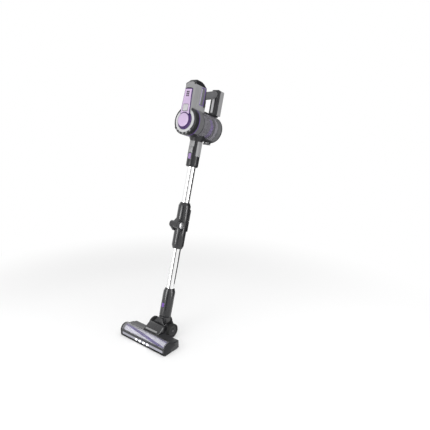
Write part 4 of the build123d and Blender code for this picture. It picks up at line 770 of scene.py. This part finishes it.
def unit_details():
    lathe(
        "filter_inlay", "filter_door", "lavender", drum_place,
        [(CAP_FRONT + 0.4, 0), (CAP_FRONT - 1.2, 0), (CAP_FRONT - 1.5, 14), (CAP_FRONT - 1.5, 23.5),
         (CAP_FRONT - 1.1, 26.0), (CAP_FRONT - 0.3, 27.4), (CAP_FRONT + 0.4, 27.8)],
    )
    lathe(
        "drum_band", "main_unit", "purple", drum_place,
        [(-66.9, 57.4), (-66.9, 58.35), (-65.3, 58.35), (-65.3, 57.4)],
    )
    lathe(
        "collar_band", "main_unit", "charcoal", drum_place,
        [(-36.6, 56.6), (-36.6, 57.3), (-34.2, 57.3), (-34.2, 56.6)],
    )
    lathe(
        "cup_inner_band", "main_unit", "column_grey", drum_place,
        [(45.5, 51.5), (45.5, 53.6), (59.0, 53.6), (59.0, 51.5)],
    )
    clips = []
    for turn in (68, 112, 148, 212, 248, 292):
        clips.append((ring_place(DRUM_RADIUS, turn, -78), round_box(5.5, 4.5, 1.6), -0.4, 1.5))
    slabs("drum_clips", "main_unit", "charcoal", clips, 0.5)
    marks = []
    for rise in (98.0, 106.0, 114.0):
        for side in (-4.0, 4.0):
            outline = round_box(3.2, 3.1, 1.0, 4, (side, rise))
            marks.append((column_place, outline, STRIPE_FRONT + 0.3, STRIPE_FRONT - 0.25))
    slabs("indicator_marks", "main_unit", "gloss_dark", marks, 0.12, 1)
    arch = []
    for step in range(25):
        side = -20.5 + 41.0 * step / 24
        arch.append((side, 132.2 - 3.4 * (abs(side) / 20.5) ** 2.4))
    for step in range(25):
        side = 20.5 - 41.0 * step / 24
        arch.append((side, 128.2 - 3.4 * (abs(side) / 20.5) ** 2.4))
    slabs(
        "stripe_brow", "main_unit", "gloss_dark",
        [(column_place, arch, COLUMN_FRONT + 0.3, COLUMN_FRONT - 1.6)], 0.4,
    )
    for name, turn in (("right", 1), ("left", -1)):
        def rim_place(a, b, c, turn=turn):
            return unit(turn * (column_side(b) + c), a, b)

        band(
            "panel_rim_" + name, "main_unit", "purple", rim_place,
            round_box(12.3, 36.9, 5.0, 8, (-39.75, 110)), round_box(10.6, 35.2, 3.6, 8, (-39.75, 110)),
            -1.0, 0.45,
        )
        # A light-grey line along the panel's front edge: a painted highlight where its bevel catches the light.
        slabs(
            "panel_lip_" + name, "main_unit", "light_grey",
            [(rim_place, round_box(1.1, 31.0, 1.0, 4, (-49.0, 110)), -1.0, 0.35)], 0.3,
        )
    # A light-grey strip down the post's front: a painted highlight where the lit face and its rounded edge catch
    # the light.
    slabs(
        "post_trim", "main_unit", "light_grey",
        [(column_place, round_box(5.5, 44.0, 2.5, 6, (0, 116)), 63.3, 62.2)], 0.5,
    )
    # A charcoal sheet on the collar's underside: painted shade, darker where less light falls.
    lathe(
        "collar_saddle", "main_unit", "charcoal", drum_place,
        [(-65.0, 56.0), (-65.0, 57.4), (-64.2, 57.9), (-34.9, 57.9), (-34.2, 57.4), (-34.2, 56.0)],
        start=144, sweep=72, steps=48,
    )
    # A charcoal sheet along the cup's underside: painted shade, darker where less light falls.
    lathe(
        "cup_sump", "main_unit", "charcoal", drum_place,
        [(-32.8, 56.0), (-32.8, 57.0), (83.6, 57.0), (83.6, 56.0)], start=154, sweep=52, steps=36,
    )
    # A mid-grey plate on the rail's top: a painted highlight, the top lighter than the dark rail where it faces
    # the light.
    slabs(
        "rail_plate", "main_unit", "mid_grey",
        [(rail_place, round_box(9.5, 45.0, 2.5, 6, (0, 36)), 61.6, 62.9)], 0.5,
    )


def skin_tree(names):
    """What a ray meets on the named pieces taken together."""
    corners, faces = [], []
    for name in names:
        mesh = bpy.data.objects[name].data
        faces += [[len(corners) + index for index in face.vertices] for face in mesh.polygons]
        corners += [vertex.co.copy() for vertex in mesh.vertices]
    return BVHTree.FromPolygons(corners, faces)


RAY_START = -130
RAY_LONGEST = 70


def front_skin(tree, a, b, c):
    """On the column's front: a sideways, b up, c back from its skin."""
    nearest = RAY_LONGEST * MM
    for beside, above in ((0, 0), (0.8, 0), (-0.8, 0), (0, 0.8), (0, -0.8)):
        hit = tree.ray_cast(unit(a + beside, RAY_START, b + above), BACK)
        if hit[0]:
            nearest = min(nearest, hit[3])
    return unit(a, RAY_START, b) + BACK * (nearest + c * MM)


def half_oval(half, foot, rise, power, steps):
    """Half an oval standing on its foot. A small power makes its shoulders square."""
    points = []
    for step in range(steps + 1):
        turn = math.pi * step / steps
        points.append((half * math.cos(turn), foot + rise * math.sin(turn) ** power))
    return points


def arch_surround():
    """The dark band between the grey arch and the cap, lying on the column's rounded skin."""
    steps = 48
    layers = 5
    tree = skin_tree(["front_shell_rounded", "top_cap_rounded"])
    outer = half_oval(25.4, 146.0, 23.0, 0.8, steps)
    inner = half_oval(21.8, 146.0, 13.2, 0.85, steps)
    form = bmesh.new()
    rows = [[form.verts.new(front_skin(tree, a, b, 0.5)) for a, b in inner]]
    for layer in range(layers + 1):
        share = layer / layers
        rows.append([
            form.verts.new(front_skin(tree, a + (far_a - a) * share, b + (far_b - b) * share, -0.5))
            for (a, b), (far_a, far_b) in zip(inner, outer)
        ])
    rows.append([form.verts.new(front_skin(tree, a, b, 0.5)) for a, b in outer])
    for row in range(len(rows)):
        first, second = rows[row], rows[(row + 1) % len(rows)]
        for k in range(steps):
            form.faces.new((first[k], first[k + 1], second[k + 1], second[k]))
    for end in (0, steps):
        form.faces.new([row[end] for row in rows])
    bmesh.ops.recalc_face_normals(form, faces=form.faces)
    return piece_from(form, "arch_surround", "main_unit", "gloss_dark", 40)


def column_details():
    arch_surround()

    def rear_place(a, b, c):
        return unit(c * (column_side(b) + 0.6), a, b)

    outline = [
        (-27.0, 152.0), (-25.6, 154.6), (-24.4, 152.0), (-20.9, 128.0), (-15.6, 96.0), (-12.6, 78.0),
        (-13.6, 73.0), (-17.6, 70.6), (-24.0, 70.4), (-27.0, 73.4),
    ]
    rear = slabs("column_rear", "main_unit", "head_dark", [(rear_place, outline, -1.0, 1.0)], 0.8, 3)
    for vertex in rear.data.vertices:
        vertex.co = shoulder(vertex.co)
    lathe(
        "lug_backing", "main_unit", "column_grey", drum_place,
        [(-91.9, 49.6), (-91.9, 54.8), (-90.8, 55.4), (-90.8, 49.6)], start=122, sweep=116,
    )


def button_and_lid_details():
    band(
        "button_frame", "main_unit", "gloss_dark", column_place,
        round_box(14.6, 14.6, 3.2, 6, (0, 50)), round_box(13.35, 13.35, 2.2, 6, (0, 50)),
        STRIPE_FRONT + 0.3, STRIPE_FRONT - 0.5,
    )
    lathe(
        "lid_dish", "cup_door", "mid_grey", drum_place,
        [(96.6, 18), (98.0, 18.6), (98.0, 27.4), (96.6, 28)],
    )
    lathe(
        "lid_boss", "cup_door", "dark_purple", drum_place,
        [(96.6, 0), (98.8, 0), (98.8, 9.4), (98.2, 10.6), (96.6, 11)],
    )
    ribs = []
    for turn in range(0, 360, 30):
        ribs.append((lid_rib_place(turn), [(30, -1.1), (50, -1.1), (50, 1.1), (30, 1.1)], 96.6, 97.9))
    slabs("lid_ribs", "cup_door", "charcoal", ribs, 0.4)


def lid_rib_place(turn):
    """On the rear of the lid: a out along a spoke, b across it, c back along the drum."""
    def place(a, b, c):
        angle = math.radians(turn)
        return unit(a * math.sin(angle) + b * math.cos(angle), c, a * math.cos(angle) - b * math.sin(angle))

    return place


BATTERY_BOTTOM = 56.4 + 9.6
BATTERY_TOP = BATTERY_BOTTOM + 106.5


def handle_details():
    level = []
    for rise in (0, 6.0, 12.0):
        level.append((column_place, round_box(2.2, 1.3, 0.6, 3, (0, BATTERY_TOP - 18 - rise)), 107.6, 108.5))
    slabs("battery_level", "battery", "light_grey", level, 0.15, 1)
    ribs = []
    for k in range(9):
        rise = BATTERY_BOTTOM + 18 + 4.2 * k
        ribs.append((column_place, round_box(12.0, 0.9, 0.8, 3, (0, rise)), 107.6, 108.6))
    slabs("battery_grip", "battery", "charcoal", ribs, 0.25)


HINGE_BACK = -30.0
HINGE_STATION = 444.6
HOSE_LOW = 417.0
HOSE_LENGTH = 64.0
HOSE_STEPS = 48
HOSE_RIBS = 12


def fold_place(along, side, rise):
    """About the fold hinge: along it in x, behind it, and up the wand from it."""
    return wand(along, HINGE_BACK + side, HINGE_STATION + rise)


def sleeve(name, body, low, high, radius=14.8):
    """A smooth skin over a part of the fold hinge's barrel."""
    inner = radius - 2.0
    lathe(
        name, body, "joint_dark", fold_place,
        [(low, inner), (low, radius - 0.5), (low + 0.5, radius), (high - 0.5, radius), (high, radius - 0.5),
         (high, inner)],
    )


def wand_details():
    for name, low, high in (("lower_tube", 136.4, 376.9), ("upper_tube", 507.9, 728.4)):
        tube = lathe(
            name + "_drawn", body_of[name], "tube_metal", wand_place,
            [(low, 16.0), (low, 17.0), (high, 17.0), (high, 16.0)], steps=160,
        )
        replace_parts(tube, name)
    sleeve("barrel_right", "lower_wand", 14.6, 29.0)
    sleeve("barrel_left", "lower_wand", -29.0, -14.6)
    sleeve("barrel_middle", "main_unit", -13.8, 13.8)
    lathe(
        "barrel_end_right", "lower_wand", "bright_cap", fold_place,
        [(30.0, 0), (32.0, 0), (32.0, 9.6), (31.4, 11.4), (30.0, 12.2)],
    )
    lathe(
        "barrel_end_left", "lower_wand", "gloss_dark", fold_place,
        [(-30.0, 0), (-32.0, 0), (-32.0, 9.6), (-31.4, 11.4), (-30.0, 12.2)],
    )
    rings = []
    for k in range(HOSE_STEPS + 1):
        station = HOSE_LOW + HOSE_LENGTH * k / HOSE_STEPS
        rings.append((station, 14.0 + 0.9 * math.cos(2 * math.pi * HOSE_RIBS * k / HOSE_STEPS)))
    profile = [(480.9, 12.2), (417.1, 12.2)] + rings
    hose = lathe("hose_bellows", None, "rubber", wand_place, profile, steps=48)
    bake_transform(hose)
    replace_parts(hose, "flex_hose")


WHEEL_Y = 46.25
WHEEL_Z = 30.0


def wheel_place(along, side, rise):
    return floor_point(along, WHEEL_Y + side, WHEEL_Z + rise)


def wheel_details():
    for name, toward in (("wheel_right", 1), ("wheel_left", -1)):
        def x(value, toward=toward):
            return toward * value

        tread = [(x(46.6), 24.0), (x(46.6), 27.0), (x(47.8), 29.2)]
        for k in range(4):
            station = 49.0 + 2.2 * k
            tread += [
                (x(station), 30.0), (x(station + 1.5), 30.0),
                (x(station + 1.65), 29.3), (x(station + 2.05), 29.3),
            ]
        tread += [
            (x(57.9), 30.0), (x(58.8), 28.8), (x(60.6), 26.0),
            (x(60.6), 23.5), (x(57.4), 21.0), (x(49.0), 21.0),
        ]
        tyre = lathe(name + "_tyre", body_of[name], "rubber", wheel_place, tread)
        lathe(
            name + "_hub", body_of[name], "wheel_dark", wheel_place,
            [(x(54.2), 3.1), (x(54.2), 21.5), (x(57.6), 21.2), (x(57.6), 13.0), (x(60.2), 11.0),
             (x(60.2), 7.0), (x(57.2), 7.0), (x(57.2), 3.1)],
        )
        lathe(
            name + "_hub_back", body_of[name], "wheel_dark", wheel_place,
            [(x(47.6), 3.1), (x(47.6), 9.0), (x(54.2), 9.0), (x(54.2), 3.1)],
        )
        lathe(
            name + "_bolt", "brush_head", "mid_grey", wheel_place,
            [(x(57.5), 0), (x(59.4), 0), (x(59.6), 2.0), (x(59.2), 4.2), (x(58.2), 5.4), (x(57.5), 5.6)],
        )
        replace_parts(tyre, name)
    for name, toward in (("yoke_collar_right", 1), ("yoke_collar_left", -1)):
        lathe(
            name, "swivel_yoke", "joint_dark", wheel_place,
            [(toward * 18.8, 9.0), (toward * 18.8, 16.4), (toward * 19.4, 17.0), (toward * 26.2, 17.0),
             (toward * 26.2, 9.0)],
        )
    lathe(
        "yoke_core", "swivel_yoke", "joint_dark", wheel_place,
        [(-19.2, 3.4), (-19.2, 6.3), (19.2, 6.3), (19.2, 3.4)], steps=48,
    )


ROLLER_Y = -50.8
ROLLER_Z = 21.5
NOSE_RADIUS = 25.2
COVER_Y = -26.0
COVER_Z = 42.3
CROWN_Y = ROLLER_Y + NOSE_RADIUS * math.cos(math.radians(60))
CROWN_Z = ROLLER_Z + NOSE_RADIUS * math.sin(math.radians(60))


def roller_place(along, side, rise):
    return floor_point(along, ROLLER_Y + side, ROLLER_Z + rise)


def deck_place(a, b, c):
    """On the slope behind the window: a sideways, b down the slope to the rear, c out of it."""
    slope = math.atan2(6.5, 11.0)
    return floor_point(
        a,
        CROWN_Y + b * math.cos(slope) + c * math.sin(slope),
        CROWN_Z - b * math.sin(slope) + c * math.cos(slope),
    )


def cover_place(a, b, c):
    """On the foot of the centre cover: a sideways, b up its slope to the rear, c out of it."""
    slope = math.atan2(4.0, 9.0)
    return floor_point(
        a,
        COVER_Y + b * math.cos(slope) - c * math.sin(slope),
        COVER_Z + b * math.sin(slope) + c * math.cos(slope),
    )


def nose_outline(growth):
    """The brush head's side outline, in (y, z), grown by growth."""
    radius = NOSE_RADIUS + growth
    points = [(-76.0 - growth, 1.5)]
    for step in range(17):
        angle = math.radians(180 - 120 * step / 16)
        points.append((ROLLER_Y + radius * math.cos(angle), ROLLER_Z + radius * math.sin(angle)))
    points.append((-27.2, 36.8 + growth))
    for step in range(9):
        turn = math.radians(80 - 80 * step / 8)
        points.append((-6.2 + 10.0 * math.cos(turn), 23.2 + 10.0 * math.sin(turn)))
    for step in range(7):
        turn = math.radians(-90 * step / 6)
        points.append((-2.2 + 6.0 * math.cos(turn), 6.6 + 6.0 * math.sin(turn)))
    points.append((-74.5, 0.2))
    return points


def end_place(toward):
    """On an end of the brush head: a back, b up, c out from its middle."""
    def place(a, b, c):
        return floor_point(toward * c, a, b)

    return place


BRISTLE_ROWS = 4
BRISTLE_STEPS = 120
BRISTLE_HALF = 118.0
BRISTLE_TURN = 78.0
BRISTLE_START = -6.0
BRISTLE_SPREAD = 17.0
BRISTLE_ROOT = 17.5
BRISTLE_SIDE = 20.4
BRISTLE_TIP = 20.8
TUFT_RIPPLE = 0.35


def bristle_rows():
    """Four broad tufted rows wound slowly round the roller."""
    form = bmesh.new()
    steps = BRISTLE_STEPS
    half_width = math.radians(BRISTLE_SPREAD)
    for row in range(BRISTLE_ROWS):
        rails = []
        for step in range(steps + 1):
            along = -BRISTLE_HALF + 2 * BRISTLE_HALF * step / steps
            middle = math.radians(90.0 * row + BRISTLE_START + BRISTLE_TURN * step / steps)
            ripple = TUFT_RIPPLE * (step % 2)
            rails.append([
                form.verts.new(roller_place(along, radius * math.cos(turn), radius * math.sin(turn)))
                for radius, turn in (
                    (BRISTLE_ROOT, middle - half_width), (BRISTLE_SIDE - ripple, middle - half_width * 0.8),
                    (BRISTLE_TIP - ripple, middle), (BRISTLE_SIDE - ripple, middle + half_width * 0.8),
                    (BRISTLE_ROOT, middle + half_width),
                )
            ])
        for step in range(steps):
            skin(form, rails[step], rails[step + 1])
        form.faces.new(rails[0])
        form.faces.new(rails[-1])
    bmesh.ops.recalc_face_normals(form, faces=form.faces)
    return piece_from(form, "bristle_rows", "brush_roller", "bristle_purple")


def head_details():
    lathe(
        "roller_pile", "brush_roller", "roller_pale", roller_place,
        [(-119.0, 12), (-119.0, 18.2), (-118.4, 18.9), (118.4, 18.9), (119.0, 18.2), (119.0, 12)], steps=120,
    )
    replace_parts(bristle_rows(), "roller_bristles")
    slabs(
        "cover_bar", "brush_head", "column_grey",
        [(cover_place, round_box(33.0, 3.6, 1.0, 4, (0, 4.9)), -0.4, 1.0)], 0.4,
    )
    for name, toward in (("end_cap_right", 1), ("end_cap_left", -1)):
        blocks = [(end_place(toward), nose_outline(0.5), 127.2, HEAD_HALF)]
        cap = slabs(name, "brush_head", "gloss_dark", blocks, 2.0, 4)
        for vertex in cap.data.vertices:
            vertex.co = head_corner(vertex.co)
    seam = [(-126.0, -1.6), (126.0, -1.6), (126.0, 0.6), (-126.0, 0.6)]
    slabs("window_seam", "brush_head", "gloss_dark", [(deck_place, seam, -0.2, 0.5)], 0.2)


def spot_on(node_name, start, direction):
    """Where a ray from start first meets a CAD node."""
    mesh = nodes[node_name].data
    corners = [vertex.co for vertex in mesh.vertices]
    tree = BVHTree.FromPolygons(corners, [face.vertices for face in mesh.polygons])
    return tree.ray_cast(start, direction)[0]


def screw_group(name, node_name, starts, direction):
    """Screws on a node's skin, where rays from the starts meet it. A start that misses gets none."""
    hits = [spot_on(node_name, start, direction) for start in starts]
    screws(name, body_of[node_name], [(hit, -direction) for hit in hits if hit])


def screw_details():
    screw_group(
        "column_screws", "rear_shell",
        [unit(side, 40, rise) for side in (-19, 19) for rise in (86, 150)], -BACK,
    )
    screw_group(
        "battery_screws", "battery_rear_case",
        [unit(side, 200, rise) for side in (-13, 13) for rise in (BATTERY_BOTTOM + 9, BATTERY_TOP - 16)],
        -BACK,
    )
    screw_group(
        "sole_screws", "head_base",
        [floor_point(side, y, -50) for side, y in ((-112, -6), (112, -6), (-72, -6), (72, -6))],
        Vector((0, 0, 1)),
    )
    screw_group("fold_screws", "fold_upper_housing", [wand(0, 80, 478), wand(0, 80, 500)], -BACK)
    screw_group("fold_lower_screws", "fold_lower_housing", [wand(0, 80, 388), wand(0, 80, 408)], -BACK)


def main_details():
    unit_details()
    column_details()
    button_and_lid_details()
    handle_details()
    wand_details()
    wheel_details()
    head_details()
    screw_details()
    bpy.data.objects["inlet_button_rounded"].data.materials[0] = materials["button_lilac"]


add_camera()
add_world()
add_lights()
add_floor()
add_flags()
dress_nodes()
for node_name, width in EDGE_WIDTHS.items():
    rounded(node_name, width, OTHER_SLOTS.get(node_name))
main_details()
bpy.context.scene.view_settings.view_transform = "Standard"
